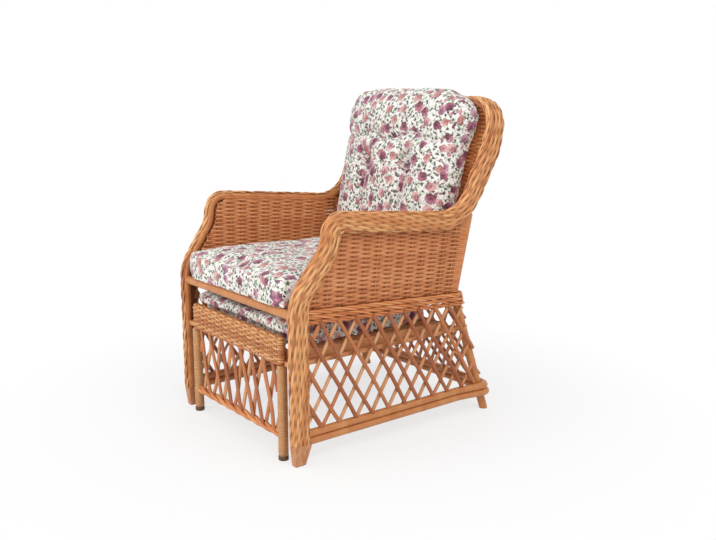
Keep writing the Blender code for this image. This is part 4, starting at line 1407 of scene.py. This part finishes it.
@dataclass
class Lattice:
    """Two crossed layers of rods, laid out flat and then put in place."""

    name: str
    node: str
    body: Body
    shift: float  # from a rod's head to its foot, along the lattice
    lead: float  # head of the first rod
    low: float
    top: Callable[[Array], Array]
    inside: Callable[[Array, Array], Array]
    place: Callable[[Array, Array, Array], Array]
    normal: tuple
    seed: int
    half_width: tuple = (0.0063, 0.0057)  # of the two layers
    half_thick: float = 0.0043
    depths: tuple = (0.0035, 0.0078)  # of the first layer, and from it to the second
    overlap: float = 0.012
    shortest: float = 0.05
    bend: float = 0.0035
    stray: float = 0.002
    deep_stray: float = 0.0004
    wide_stray: float = 0.06
    numbers: tuple = (-14, 26)  # more rods than the widest lattice holds

    def build(self) -> None:
        """Makes the rods, each a little bent and out of true."""
        rods = Strands(self.name, 8, self.seed)
        draw = rods.rng.normal
        for layer, way in enumerate((1, -1)):
            for number in range(*self.numbers):
                start = self.lead + LATTICE_PITCH * number
                head = np.array((start + draw(0, self.stray), float(self.top(np.array(start)))))
                foot = np.array((start + way * self.shift + draw(0, self.stray), self.low))
                run = unit(foot - head)
                head, foot = head - run * self.overlap, foot + run * self.overlap
                share = np.linspace(0, 1, 120)
                flat = head + (foot - head) * share[:, None]
                bow = draw(0, self.bend) * np.sin(np.pi * share)
                bow += draw(0, self.bend * 0.4) * np.sin(2 * np.pi * share)
                flat = flat + bow[:, None] * np.array((-run[1], run[0]))
                flat = flat[self.inside(flat[:, 0], flat[:, 1])]
                if len(flat) == 0 or np.ptp(flat[:, 1]) < self.shortest:
                    continue
                deep = self.depths[0] + layer * self.depths[1] + draw(0, self.deep_stray)
                path = self.place(flat[:, 0], flat[:, 1], np.full(len(flat), deep))
                wide = self.half_width[layer] * (1 + draw(0, self.wide_stray))
                tone = rods.rng.random() * 0.5 + layer * 0.5
                rods.add(spaced(path, 0.014), np.array(self.normal), wide, self.half_thick, tone=tone)
        rods.make(FINISHES.rod, self.body, Slot.RATTAN, self.node)


def side_lattice(side: Side) -> Lattice:
    """Lays out the lattice of one side.

    Args:
        side: Which side.

    Returns:
        The lattice.
    """
    foot, bend = REAR_POST.foot, REAR_POST.bend
    return Lattice(
        f"side_lattice_{side.word}",
        f"lattice_{side.word}",
        Body.CHAIR,
        shift=LATTICE_SHIFT,
        lead=0.0855,
        low=LATTICE_LOW_Z,
        top=wale_low,
        inside=lambda y, z: (y > 0.030) & (y < foot[1] + (bend[1] - foot[1]) * z / bend[2] + 0.006),
        place=lambda y, z, deep: np.column_stack([side.value * (0.302 - deep), y, z]),
        normal=(side.value, 0, 0),
        seed=71 + side.value,
    )


def back_lattice() -> Lattice:
    """Lays out the lattice of the back, which lies against the splayed rear legs.

    Returns:
        The lattice.
    """
    foot, bend = np.array(REAR_POST.foot), np.array(REAR_POST.bend)
    up_way = unit(np.array((0, bend[1] - foot[1], bend[2])))
    out_way = -np.cross(X_AXIS, up_way)
    reach = POLE_R + 0.0155
    top = (float(wale_low(WALE_BACK_Y)) - out_way[2] * reach) / up_way[2]
    base = foot[1] * Y_AXIS

    def place(x: Array, up: Array, deep: Array) -> Array:
        """Places on the back, given along it, up it and in from its face."""
        return base + x[:, None] * X_AXIS + up[:, None] * up_way + (reach - deep)[:, None] * out_way

    return Lattice(
        "back_lattice",
        "lattice_back",
        Body.CHAIR,
        shift=LATTICE_SHIFT,
        lead=0.0,
        low=LATTICE_LOW_Z / up_way[2],
        top=lambda x: top + x * 0,
        inside=lambda x, up: np.abs(x) < foot[0] + (bend[0] - foot[0]) * up * up_way[2] / bend[2] - 0.006,
        place=place,
        normal=tuple(out_way),
        seed=74,
    )


# Footrest


@dataclass
class FootrestFront:
    """Wound legs, woven apron, lattice and roped rail at the footrest's front."""

    leg_x: float = 0.236
    leg_r: float = 0.014
    leg_core_r: float = 0.0122
    leg_gap: float = 0.0003  # to the cap below and the apron above
    winding_r: float = 0.0128
    winding_pitch: float = 0.0060
    winding: tuple = (0.0029, 0.0012)  # half width, half thickness
    cap_height: float = 0.012
    cap_edge: float = 0.0022
    apron_low: float = 0.264
    apron_crown: float = 0.327
    apron_half: float = 0.2465
    apron_round: float = 0.013
    row_pitch: float = 0.0066
    row_in: float = 0.0034  # from the apron's face to the middle of a row
    row_start: float = 0.0038  # of the first row above the apron's lower edge
    row_high: float = 0.46  # half height in shares of the pitch
    row_thick: float = 0.0018
    row_swing: float = 0.0020
    # how dark the shade painted where a row dips behind a stake is
    row_painted_shade: float = 0.65
    crown_turns: tuple = (26, 52, 76)  # of the rows over the crown, in degrees
    crown_share: float = 0.86
    stake_pitch: float = 0.0222
    stake_r: float = 0.0019
    rail_z: float = 0.070
    rail_r: float = 0.0118

    def legs(self) -> None:
        """Legs wound closely with flat cane, over a core."""
        base, top = self.cap_height + self.leg_gap, self.apron_low - self.leg_gap
        pitch = self.winding_pitch
        turn = np.arange(0, (top - base - pitch) / pitch * TURN, np.pi / 8)
        out = np.column_stack([np.cos(turn), np.sin(turn), turn * 0])
        for side in Side:
            leg = Strands(f"wound_leg_{side.word}", 8, 81)
            x = self.leg_x * side.value
            core = np.array([(x, 0, base + (top - base) * i / 6) for i in range(7)])
            leg.add(core, X_AXIS, self.leg_core_r, tone=0.2)
            path = np.array((x, 0, base + pitch / 2)) + out * self.winding_r
            leg.add(path + Z_AXIS * (turn * pitch / TURN)[:, None], out, *self.winding, tone=0.55)
            leg.make(FINISHES.wrap, Body.FOOTREST, Slot.CANE_WRAP, f"footrest_leg_{side.word}")

    def caps(self) -> None:
        """Floor caps, turned with eased rims."""
        for side in Side:
            bpy.ops.object.select_all(action="DESELECT")
            bpy.ops.mesh.primitive_cylinder_add(vertices=28, radius=self.leg_r, depth=self.cap_height)
            cap = bpy.context.object
            cap.name = cap.data.name = f"floor_cap_{side.word}"
            bpy.ops.object.mode_set(mode="EDIT")
            bpy.ops.mesh.select_all(action="SELECT")
            bpy.ops.mesh.bevel(offset=self.cap_edge, segments=3, affect="EDGES", clamp_overlap=True)
            bpy.ops.object.mode_set(mode="OBJECT")
            for vert in cap.data.vertices:
                vert.co += Vector((self.leg_x * side.value, FRONT_Y, self.cap_height / 2))
            bpy.ops.object.shade_smooth_by_angle(angle=math.radians(40))
            settle(cap, FINISHES.cap, Body.FOOTREST, Slot.DARK_CAP, f"footrest_cap_{side.word}")

    def loop(self, depth: float, z: float) -> Array:
        """One row's closed way round the apron, with round ends.

        Args:
            depth: Half the row's depth.
            z: Its height.

        Returns:
            Its points.
        """
        ends = np.radians(np.arange(-90, 91, 15))
        straight = self.apron_half - self.apron_round
        right = np.column_stack([straight + depth * np.cos(ends), depth * np.sin(ends), ends * 0 + z])
        return spaced(np.vstack([right, right * np.array((-1, -1, 1))]), self.stake_pitch / 5, closed=True)

    def apron(self) -> None:
        """Apron of close rows round stakes that bend over its top."""
        # the last number sets the shade painted along each row's and stake's edges
        apron = Strands("woven_apron", 6, 91, 0.4)
        depth = self.apron_round - self.row_in
        crown, high = self.apron_crown, self.apron_round * self.crown_share
        heights = np.arange(self.apron_low + self.row_start, crown + 0.001, self.row_pitch)
        turns = np.radians(self.crown_turns)
        levels = [(depth, z) for z in heights]
        levels += [(depth * math.cos(turn), crown + high * math.sin(turn)) for turn in turns]
        for number, (deep, z) in enumerate(levels):
            path = self.loop(deep, z)
            normal = unit(np.cross(directions(path, True), Z_AXIS))
            if z > crown:
                normal = unit(normal * deep / depth + Z_AXIS * math.sqrt(1 - (deep / depth) ** 2))
            calm = np.clip((self.apron_half - np.abs(path[:, 0])) / 0.012, 0, 1)
            over = np.cos(np.pi * (path[:, 0] / self.stake_pitch + number)) * calm
            path += normal * (self.row_swing * over)[:, None]
            half = self.row_pitch * self.row_high
            apron.add(path, normal, half, self.row_thick, closed=True, over=over * self.row_painted_shade)
        bends = np.radians(np.arange(0, 181, 15))
        for stake in range(-10, 11):
            x = stake * self.stake_pitch
            arch = [(x, -depth * math.cos(a), crown + depth * math.sin(a)) for a in bends]
            path = np.array([(x, -depth, self.apron_low), *arch, (x, depth, self.apron_low)])
            apron.add(spaced(path, 0.006), X_AXIS, self.stake_r)
        apron.make(FINISHES.plait, Body.FOOTREST, Slot.WEAVE, "footrest_apron")

    def rail(self) -> None:
        """Roped rail between the legs."""
        rail = Strands("footrest_roped_rail", 8, 95, 0.2)
        half = self.leg_x - self.leg_r + 0.002
        ends = np.array(((-half, 0, self.rail_z), (half, 0, self.rail_z)))
        rail.rope(ends, Z_AXIS, self.rail_r, plies=3, pitch=0.16)
        rail.make(FINISHES.rope, Body.FOOTREST, Slot.RATTAN, "footrest_bottom_rail")

    def lattice(self) -> None:
        """Steep crossed rods between the rail and the apron."""
        Lattice(
            "footrest_rods",
            "footrest_lattice",
            Body.FOOTREST,
            shift=0.055,
            lead=0.0277,
            low=0.082,
            top=lambda x: self.apron_low + x * 0,
            inside=lambda x, z: np.abs(x) < self.leg_x - self.leg_r,
            place=lambda x, z, deep: np.column_stack([x, deep - 0.0080, z]),
            normal=(0, -1, 0),
            seed=97,
            half_width=(0.0070, 0.0066),
            bend=0.005,
            stray=0.004,
        ).build()

    def build(self) -> None:
        """Makes the front's pieces in turn."""
        for make in (self.legs, self.caps, self.apron, self.rail, self.lattice):
            make()


def dress_boards() -> None:
    """Gives the planed solids that stay their timber."""
    for name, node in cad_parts.items():
        if "slat" in name:
            finish = FINISHES.slat
        elif name.startswith("runner") or "board" in name or name == "footrest_rear_rail":
            finish = FINISHES.board
        else:
            continue
        for slot in node.material_slots:
            slot.material = finish.material()


# Cushions

CLOTH = {
    "vertex_group_mass": "sewn",
    "quality": 5,
    "mass": 0.25,
    "tension_stiffness": 12,
    "compression_stiffness": 8,
    "shear_stiffness": 4,
    "bending_stiffness": 0.4,
    "use_pressure": True,
}


@dataclass
class Cushion:
    """A filled cushion, swollen by cloth simulation from a shape a little smaller than its solid."""

    name: str
    node: str
    body: Body
    fill: float
    lean: float = 0.0  # tilt of the face from level, in radians
    shrink: float = 0.007
    voxel: float = 0.0075
    cap: float = 0.014  # how far the cover may swell
    pressure: float = 4.0
    frames: int = 20
    rest_depth: float = 0.004  # of what counts as the underside
    fold: float = 0.012  # from the top down to where the print turns over the sides
    drawn_in: float = 0.018  # how far the solid's sides draw in between its corners

    def sewn(self, own: Array) -> Array:
        """How firmly the cover is held at its own places, from 0 to 1; this plain one isn't."""
        return np.zeros(len(own))

    def pull(self, own: Array) -> Array:
        """How far the cover is drawn in at its own places; this plain one isn't."""
        return np.zeros(len(own))

    def plump(self, own: Array, share: Array) -> Array:
        """The cover's own places filled out; this plain one keeps them."""
        return own

    def axes(self) -> Array:
        """Rows of the cushion's own axes: across, along its face, and out of its face."""
        c, s = math.cos(self.lean), math.sin(self.lean)
        return np.array(((1, 0, 0), (0, c, s), (0, -s, c)))

    def middle(self) -> Array:
        """Middle of the solid's box."""
        low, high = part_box(self.node)
        return np.array((low + high) / 2)

    def own(self, places: Array) -> Array:
        """Places in the cushion's own axes from its middle."""
        return (places - self.middle()) @ self.axes().T

    def places(self, piece: bpy.types.Object) -> Array:
        """Reads where a piece's vertices are.

        Args:
            piece: The piece.

        Returns:
            The places.
        """
        found = np.empty(len(piece.data.vertices) * 3)
        piece.data.vertices.foreach_get("co", found)
        return found.reshape(-1, 3)

    def put(self, piece: bpy.types.Object, places: Array) -> None:
        """Sets the vertex places of a piece."""
        piece.data.vertices.foreach_set("co", np.ascontiguousarray(places, float).ravel())
        piece.data.update()

    def start(self) -> bpy.types.Object:
        """Makes a closed copy of the solid, drawn in a little and evenly meshed.

        Returns:
            The copy.
        """
        bpy.ops.object.select_all(action="DESELECT")
        mesh = bpy.data.meshes.new(self.name)
        bm = bmesh.new()
        bm.from_mesh(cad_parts[self.node].data)
        bmesh.ops.remove_doubles(bm, verts=bm.verts, dist=1e-5)
        bmesh.ops.recalc_face_normals(bm, faces=bm.faces)
        bm.normal_update()
        face_out = Vector(self.axes()[2])
        for vert in bm.verts:
            inward = vert.normal - face_out * min(vert.normal.dot(face_out), 0)
            vert.co -= inward * self.shrink
        bm.to_mesh(mesh)
        bm.free()
        piece = bpy.data.objects.new(self.name, mesh)
        bpy.context.scene.collection.objects.link(piece)
        piece.select_set(True)
        bpy.context.view_layer.objects.active = piece
        mesh.remesh_voxel_size = self.voxel
        bpy.ops.object.voxel_remesh()
        return piece

    def swell(self, piece: bpy.types.Object) -> None:
        """Blows the cover up under pressure, held where it is sewn and where it rests.

        Args:
            piece: The closed copy.
        """
        rest = self.places(piece)
        own = self.own(rest)
        under = own[:, 2] < own[:, 2].min() + self.rest_depth
        held = np.maximum(np.where(under, 1.0, 0.0), self.sewn(own))
        group = piece.vertex_groups.new(name=CLOTH["vertex_group_mass"])
        for index in np.nonzero(held > 0.01)[0]:
            group.add([int(index)], float(held[index]), "REPLACE")
        cloth = piece.modifiers.new("Cloth", "CLOTH")
        for key, value in CLOTH.items():
            setattr(cloth.settings, key, value)
        cloth.settings.uniform_pressure_force = self.pressure
        cloth.settings.effector_weights.gravity = 0
        cloth.collision_settings.use_collision = False
        scene = bpy.context.scene
        for number in range(1, self.frames + 1):
            scene.frame_set(number)
        bpy.ops.object.modifier_apply(modifier="Cloth")
        moved = self.places(piece) - rest
        far = np.linalg.norm(moved, axis=1, keepdims=True)
        self.put(piece, rest + moved * np.minimum(1, self.cap / np.maximum(far, 1e-9)))
        scene.frame_set(1)
        piece.vertex_groups.clear()

    def smooth(self, piece: bpy.types.Object) -> None:
        """Subdivides the cover once.

        Args:
            piece: The cover.
        """
        finer = piece.modifiers.new("finer", "SUBSURF")
        finer.levels = finer.render_levels = 1
        bpy.ops.object.modifier_apply(modifier="finer")

    def tuck(self, piece: bpy.types.Object) -> None:
        """Fills the cover out to its seams, and draws it in at its tufts and sewn lines.

        Args:
            piece: The cover.
        """
        own = self.own(self.places(piece))
        half = np.abs(own[:, :2]).max(0)
        self.put(piece, self.plump(own, own[:, :2] / half) @ self.axes() + self.middle())
        places = self.places(piece)
        self.put(piece, places - self.pull(self.own(places))[:, None] * self.axes()[2])

    def lay_print(self, piece: bpy.types.Object) -> None:
        """Lays the cloth on the cover: over its face, and down its sides without a break at the front.

        Args:
            piece: The cover.
        """
        mesh = piece.data
        own = self.own(self.places(piece))
        low, high = own.min(0), own.max(0)
        corner = np.empty(len(mesh.loops), int)
        mesh.loops.foreach_get("vertex_index", corner)
        normals = np.empty(len(mesh.polygons) * 3)
        mesh.polygons.foreach_get("normal", normals)
        normals = normals.reshape(-1, 3) @ self.axes().T
        totals = np.empty(len(mesh.polygons), int)
        mesh.polygons.foreach_get("loop_total", totals)
        facing = np.repeat(normals, totals, axis=0)
        spot = own[corner]
        drop = high[2] - self.fold - spot[:, 2]
        size = np.abs(facing)
        flat = spot[:, :2].copy()
        ends = (size[:, 1] > size[:, 2]) & (size[:, 1] >= size[:, 0])
        sides = (size[:, 0] > size[:, 2]) & (size[:, 0] > size[:, 1])
        for axis, turned in ((1, ends), (0, sides)):
            edge = np.where(facing[:, axis] > 0, high[axis], low[axis])
            flat[turned, axis] = (edge + np.sign(facing[:, axis]) * drop)[turned]
        layer = mesh.uv_layers.new(name="cloth")
        layer.data.foreach_set("uv", flat.astype(np.float32).ravel())

    def build(self) -> None:
        """Makes the cushion."""
        piece = self.start()
        self.swell(piece)
        self.smooth(piece)
        self.tuck(piece)
        self.lay_print(piece)
        piece.data.shade_smooth()
        settle(piece, FINISHES.print, self.body, Slot.FABRIC, self.node)


@dataclass
class SeatCushion(Cushion):
    """A seat cushion whose front overhangs the rail and rests on it."""

    side_slack: float = 0.004
    overhang: float = 0.016
    corner_out: tuple = (0.018, -0.010, 0.009)  # of the front corners: sideways, forward and up
    rail_y: float = 0.225  # from the middle forward to where the rail carries it
    rail_rise: float = 0.0095

    def plump(self, own: Array, share: Array) -> Array:
        """Full sides, and a front that overhangs the rail.

        Args:
            own: The cover's own places.
            share: Their places across and along as shares of the half sizes.

        Returns:
            The places filled out.
        """
        a, b = share.T
        filled = own.copy()
        filled[:, 0] += np.sign(a) * np.abs(a) ** 3 * (self.drawn_in - self.side_slack) * (1 - b * b)
        front = np.clip(-b, 0, 1)
        filled[:, 1] -= front**3 * (self.drawn_in * (1 - a * a) + self.overhang)
        corner = np.abs(a) ** 4 * front**4
        out, forward, up = self.corner_out
        filled[:, 0] += np.sign(a) * corner * out
        filled[:, 1] += corner * forward
        filled[:, 2] += corner * up * np.clip(own[:, 2] / 0.03, 0, 1)
        carried = np.clip((-filled[:, 1] - self.rail_y) / 0.02, 0, 1)
        filled[:, 2] = np.maximum(filled[:, 2], own[:, 2].min() + self.rail_rise * carried)
        return filled


def gathers(along: Array) -> Array:
    """Small uneven waves of gathered cloth along a seam, between -1 and 1."""
    return (np.sin(along * 118) + np.sin(along * 187 + 1.3) + np.sin(along * 71 + 2.1)) / 3


@dataclass
class BackCushion(Cushion):
    """A back cushion with two tufts, a head roll above them and a sewn channel below each."""

    tuft_x: float = 0.094
    tuft_up: float = 0.003
    tuft_held: float = 0.010  # radius of the cloth held at a tuft
    tuft_pull: tuple = (0.034, 0.017)  # depth and reach
    pucker: tuple = (0.35, 7)  # share and number of the folds round a tuft
    crease_up: float = 0.088  # below the head roll
    crease_held: float = 0.4
    crease_dip: float = 0.010
    crease_pull: tuple = (0.014, 0.010)
    channel_held: float = 0.5
    channel_pull: tuple = (0.022, 0.009)
    channel_run: float = 0.34
    seam_held: float = 0.008  # reach of the cloth held along a crease or channel
    roll_wider: tuple = (0.018, 0.030)  # on the left and the right
    roll_at: tuple = (0.165, 0.07)  # height and reach
    extra_full: float = 0.004
    foot_narrower: float = 0.010
    gather: float = 0.003

    def sewn(self, own: Array) -> Array:
        """Where the cover is held: at its tufts, and loosely along its creases.

        Args:
            own: The cover's own places.

        Returns:
            How firmly it is held.
        """
        across, along, out = own.T
        near = np.abs(np.abs(across) - self.tuft_x)
        tuft = np.exp(-((near**2 + (along - self.tuft_up) ** 2) / self.tuft_held**2))
        crease = np.exp(-(((along - self.crease_up) / self.seam_held) ** 2)) * self.crease_held
        channel = np.exp(-((near / self.seam_held) ** 2)) * (along < self.tuft_up) * self.channel_held
        return np.where(out > 0, np.maximum(np.maximum(tuft, crease), channel), 0)

    def pull(self, own: Array) -> Array:
        """How far the cover is drawn in at tufts, crease and channels.

        Args:
            own: The cover's own places.

        Returns:
            The depths.
        """
        across, along, out = own.T
        near = np.abs(np.abs(across) - self.tuft_x)
        rise = along - self.tuft_up
        folds = np.sin(self.pucker[1] * np.arctan2(rise, np.abs(across) - self.tuft_x))
        depth, reach = self.tuft_pull
        tuft = depth * np.exp(-np.hypot(near, rise) / reach) * (1 + self.pucker[0] * folds)
        dip = self.crease_up - self.crease_dip * np.cos(across / self.tuft_x * np.pi)
        depth, reach = self.crease_pull
        crease = depth * np.exp(-np.abs(along - dip) / reach)
        depth, reach = self.channel_pull
        channel = depth * np.exp(-near / reach) * (rise < 0) * (1 - np.clip(-rise / self.channel_run, 0, 1))
        return np.clip(out / 0.02, 0, 1) * (tuft + crease + channel)

    def plump(self, own: Array, share: Array) -> Array:
        """Full sides and top with round shoulders and gathered seams, the head roll a little wider.

        Args:
            own: The cover's own places.
            share: Their places across and along as shares of the half sizes.

        Returns:
            The places filled out.
        """
        a, b = share.T
        filled = own.copy()
        left, right = self.roll_wider
        height, reach = self.roll_at
        roll = np.where(a > 0, right, left) * np.exp(-(((own[:, 1] - height) / reach) ** 2))
        full = self.drawn_in + self.extra_full + self.foot_narrower * np.minimum(b, 0)
        filled[:, 0] += np.sign(a) * np.abs(a) ** 3 * (full * (1 - b * b) + roll)
        filled[:, 1] += np.sign(b) * np.abs(b) ** 3 * self.drawn_in * (1 - a * a)
        top = np.clip(b, 0, 1)
        size = (np.abs(a) ** 9 + top**9) ** (1 / 9)
        rounder = (np.abs(a) ** 6.0 + top**6.0) ** (1 / 6.0)
        filled[:, :2] *= np.where(b > 0, size / np.maximum(rounder, 1e-6), 1)[:, None]
        filled[:, 0] += np.sign(a) * np.abs(a) ** 8 * self.gather * gathers(own[:, 1])
        filled[:, 1] += top**8 * self.gather * (gathers(own[:, 0]) - 1)
        return filled


@dataclass
class FootrestCushion(Cushion):
    """A footrest cushion whose squared front laps over the top of the apron."""

    side_full: float = 0.005
    lap: float = 0.022
    lap_depth: float = 0.006  # below the middle, in which the lap starts
    corner_out: tuple = (0.024, 0.018)  # sideways and forward
    front_lift: float = 0.022
    highest: float = 0.0450
    front_curve: float = 0.045
    square: int = 6

    def plump(self, own: Array, share: Array) -> Array:
        """Full sides, and a front that laps over the apron.

        Args:
            own: The cover's own places.
            share: Their places across and along as shares of the half sizes.

        Returns:
            The places filled out.
        """
        a, b = share.T
        filled = own.copy()
        filled[:, 0] += np.sign(a) * np.abs(a) ** 3 * self.drawn_in * (1 - b * b)
        filled[:, 0] += np.sign(a) * np.abs(a) ** 3 * self.side_full
        filled[:, 1] += np.sign(b) * np.abs(b) ** 3 * self.drawn_in * (1 - a * a) * (b > 0)
        above = np.clip((own[:, 2] + self.lap_depth) / self.lap_depth, 0, 1)
        lap = self.drawn_in * (1 - a * a) + self.lap
        corner = np.abs(a * np.minimum(b, 0)) ** 3
        out, forward = self.corner_out
        filled[:, 0] += np.sign(a) * corner * out
        front = np.clip(-b, 0, 1)
        filled[:, 1] -= (front**3 * lap + corner * forward) * above * above * (3 - 2 * above)
        filled[:, 2] += self.front_lift * front**6 * np.clip(own[:, 2] / 0.020, 0, 1)
        filled[:, 2] = np.minimum(filled[:, 2], self.highest)
        edge, top, curve = filled[:, 1].min(), filled[:, 2].max(), self.front_curve
        out = np.clip((edge + curve - filled[:, 1]) / curve, 0, 1)
        rise = np.clip(filled[:, 2] / top, 0, 1)
        corner = (out**self.square + rise**self.square) ** (1 / self.square)
        fuller = np.hypot(out, rise) / np.maximum(corner, 1e-6)
        squared = (out > 0) & (rise > 0)
        forward = edge + curve - curve * np.minimum(out * fuller, 1)
        filled[:, 1] = np.where(squared, forward, filled[:, 1])
        filled[:, 2] = np.where(squared, top * np.minimum(rise * fuller, 1), filled[:, 2])
        return filled


# Studio


@dataclass
class Studio:
    """Camera, lamps, floor and the white room."""

    eye: tuple = (2.0557, -1.1678, 0.9554)
    azimuth: float = 52.03
    elevation: float = 11.5
    lens: float = 43.19
    lamps: tuple = (
        ("key", (-0.7, -3.2, 2.9), 2.4, 38.0),
        ("near", (2.4, -2.6, 1.8), 2.4, 15.0),
        ("low", (-0.4, -3.2, 0.6), 1.1, 18.5),
        ("side", (2.8, -0.3, 3.0), 2.4, 54.0),
        ("top", (0.0, 0.0, 3.6), 2.4, 16.0),
    )  # name, place, size and power
    lit: tuple = (0.0, 0.0, 0.45)  # where the lamps face
    room_light: float = 0.44
    floor_size: float = 60.0
    floor_greys: tuple = ((0.86, 0.86, 0.86, 1.0), (0.90, 0.90, 0.90, 1.0))
    shadow_reach: tuple = (0.45, 1.15)  # from the chair's middle, in which the floor turns white
    shadow_share: float = 0.28

    def camera(self) -> None:
        """Sets the camera to the photograph's view."""
        data = bpy.data.cameras.new("camera")
        data.lens, data.sensor_width = self.lens, 36.0
        camera = bpy.data.objects.new("camera", data)
        bpy.context.scene.collection.objects.link(camera)
        a, e = math.radians(self.azimuth), math.radians(self.elevation)
        forward = Vector((-math.sin(a) * math.cos(e), math.cos(a) * math.cos(e), -math.sin(e)))
        camera.location = (self.eye[0], self.eye[1] + FRONT_Y, self.eye[2])
        camera.rotation_euler = forward.to_track_quat("-Z", "Y").to_euler()
        bpy.context.scene.camera = camera

    def lamp(self, name: str, place: tuple, size: float, power: float) -> None:
        """Adds a soft area lamp that faces the chair.

        Args:
            name: Its name.
            place: Where it hangs.
            size: Its side, in metres.
            power: Its power, in watts.
        """
        bpy.ops.object.select_all(action="DESELECT")
        bpy.ops.object.light_add(type="AREA", location=place)
        lamp = bpy.context.object
        lamp.name = name
        lamp.data.size, lamp.data.energy = size, power
        lamp.rotation_euler = (Vector(self.lit) - Vector(place)).to_track_quat("-Z", "Y").to_euler()

    def room(self) -> None:
        """White surroundings, seen as white and lighting the chair evenly."""
        world = bpy.data.worlds.new("white_room")
        bpy.context.scene.world = world
        tree = Tree(world)
        background = tree.nodes["Background"].inputs
        tree.feed(background["Color"], WHITE)
        tree.feed(background["Strength"], tree.seen() * (1.0 - self.room_light) + self.room_light)

    def floor(self) -> None:
        """Pale floor that keeps a faint shadow."""
        bpy.ops.object.select_all(action="DESELECT")
        bpy.ops.mesh.primitive_plane_add(size=self.floor_size)
        floor = bpy.context.object
        floor.name = "pale_floor"
        shader = Shader("pale_floor")
        place = shader.coordinates("Object")
        speckle = shader.mix(shader.noise(place, 40.0, 3.0), *self.floor_greys)
        shader.dress(Base_Color=speckle, Roughness=0.9, Specular_IOR_Level=0.0)
        glow = shader.node("ShaderNodeEmission", None, {"Color": WHITE, "Strength": 1.0})
        x, y, _ = shader.parts(place)
        near = (x * x + y * y).root().step_down(*self.shadow_reach)
        white = shader.seen() * (1.0 - near * self.shadow_share)
        sockets = {0: white, 1: shader.surface.outputs[0], 2: glow.outputs[0]}
        blend = shader.node("ShaderNodeMixShader", None, sockets)
        shader.feed(shader.nodes["Material Output"].inputs["Surface"], blend.outputs[0])
        floor.data.materials.append(shader.material)

    def build(self) -> None:
        """Sets up the studio."""
        self.camera()
        for lamp in self.lamps:
            self.lamp(*lamp)
        self.room()
        self.floor()
        bpy.context.scene.view_settings.view_transform = "Standard"


def main() -> None:
    """Builds every piece in turn."""
    logging.basicConfig(level=logging.INFO, format="%(name)s: %(message)s")
    chair = [Poles(), FrontFeet(), Border(), SideWeave(), BackWeave(), Wale(), LowRails()]
    lattices = [*(side_lattice(side) for side in Side), back_lattice()]
    for assembly in (Studio(), *chair, *lattices, FootrestFront()):
        assembly.build()
    dress_boards()
    lean = math.atan2(1.0, REAR_POST.slope)
    cushions = [
        SeatCushion("printed_seat_cushion", "seat_cushion", Body.CHAIR, 0.8),
        BackCushion("printed_back_cushion", "back_cushion", Body.CHAIR, 0.8, lean),
        FootrestCushion("printed_footrest_cushion", "footrest_cushion", Body.FOOTREST, 0.7, cap=0.010),
    ]
    for cushion in cushions:
        cushion.build()


if __name__ == "__main__":
    main()
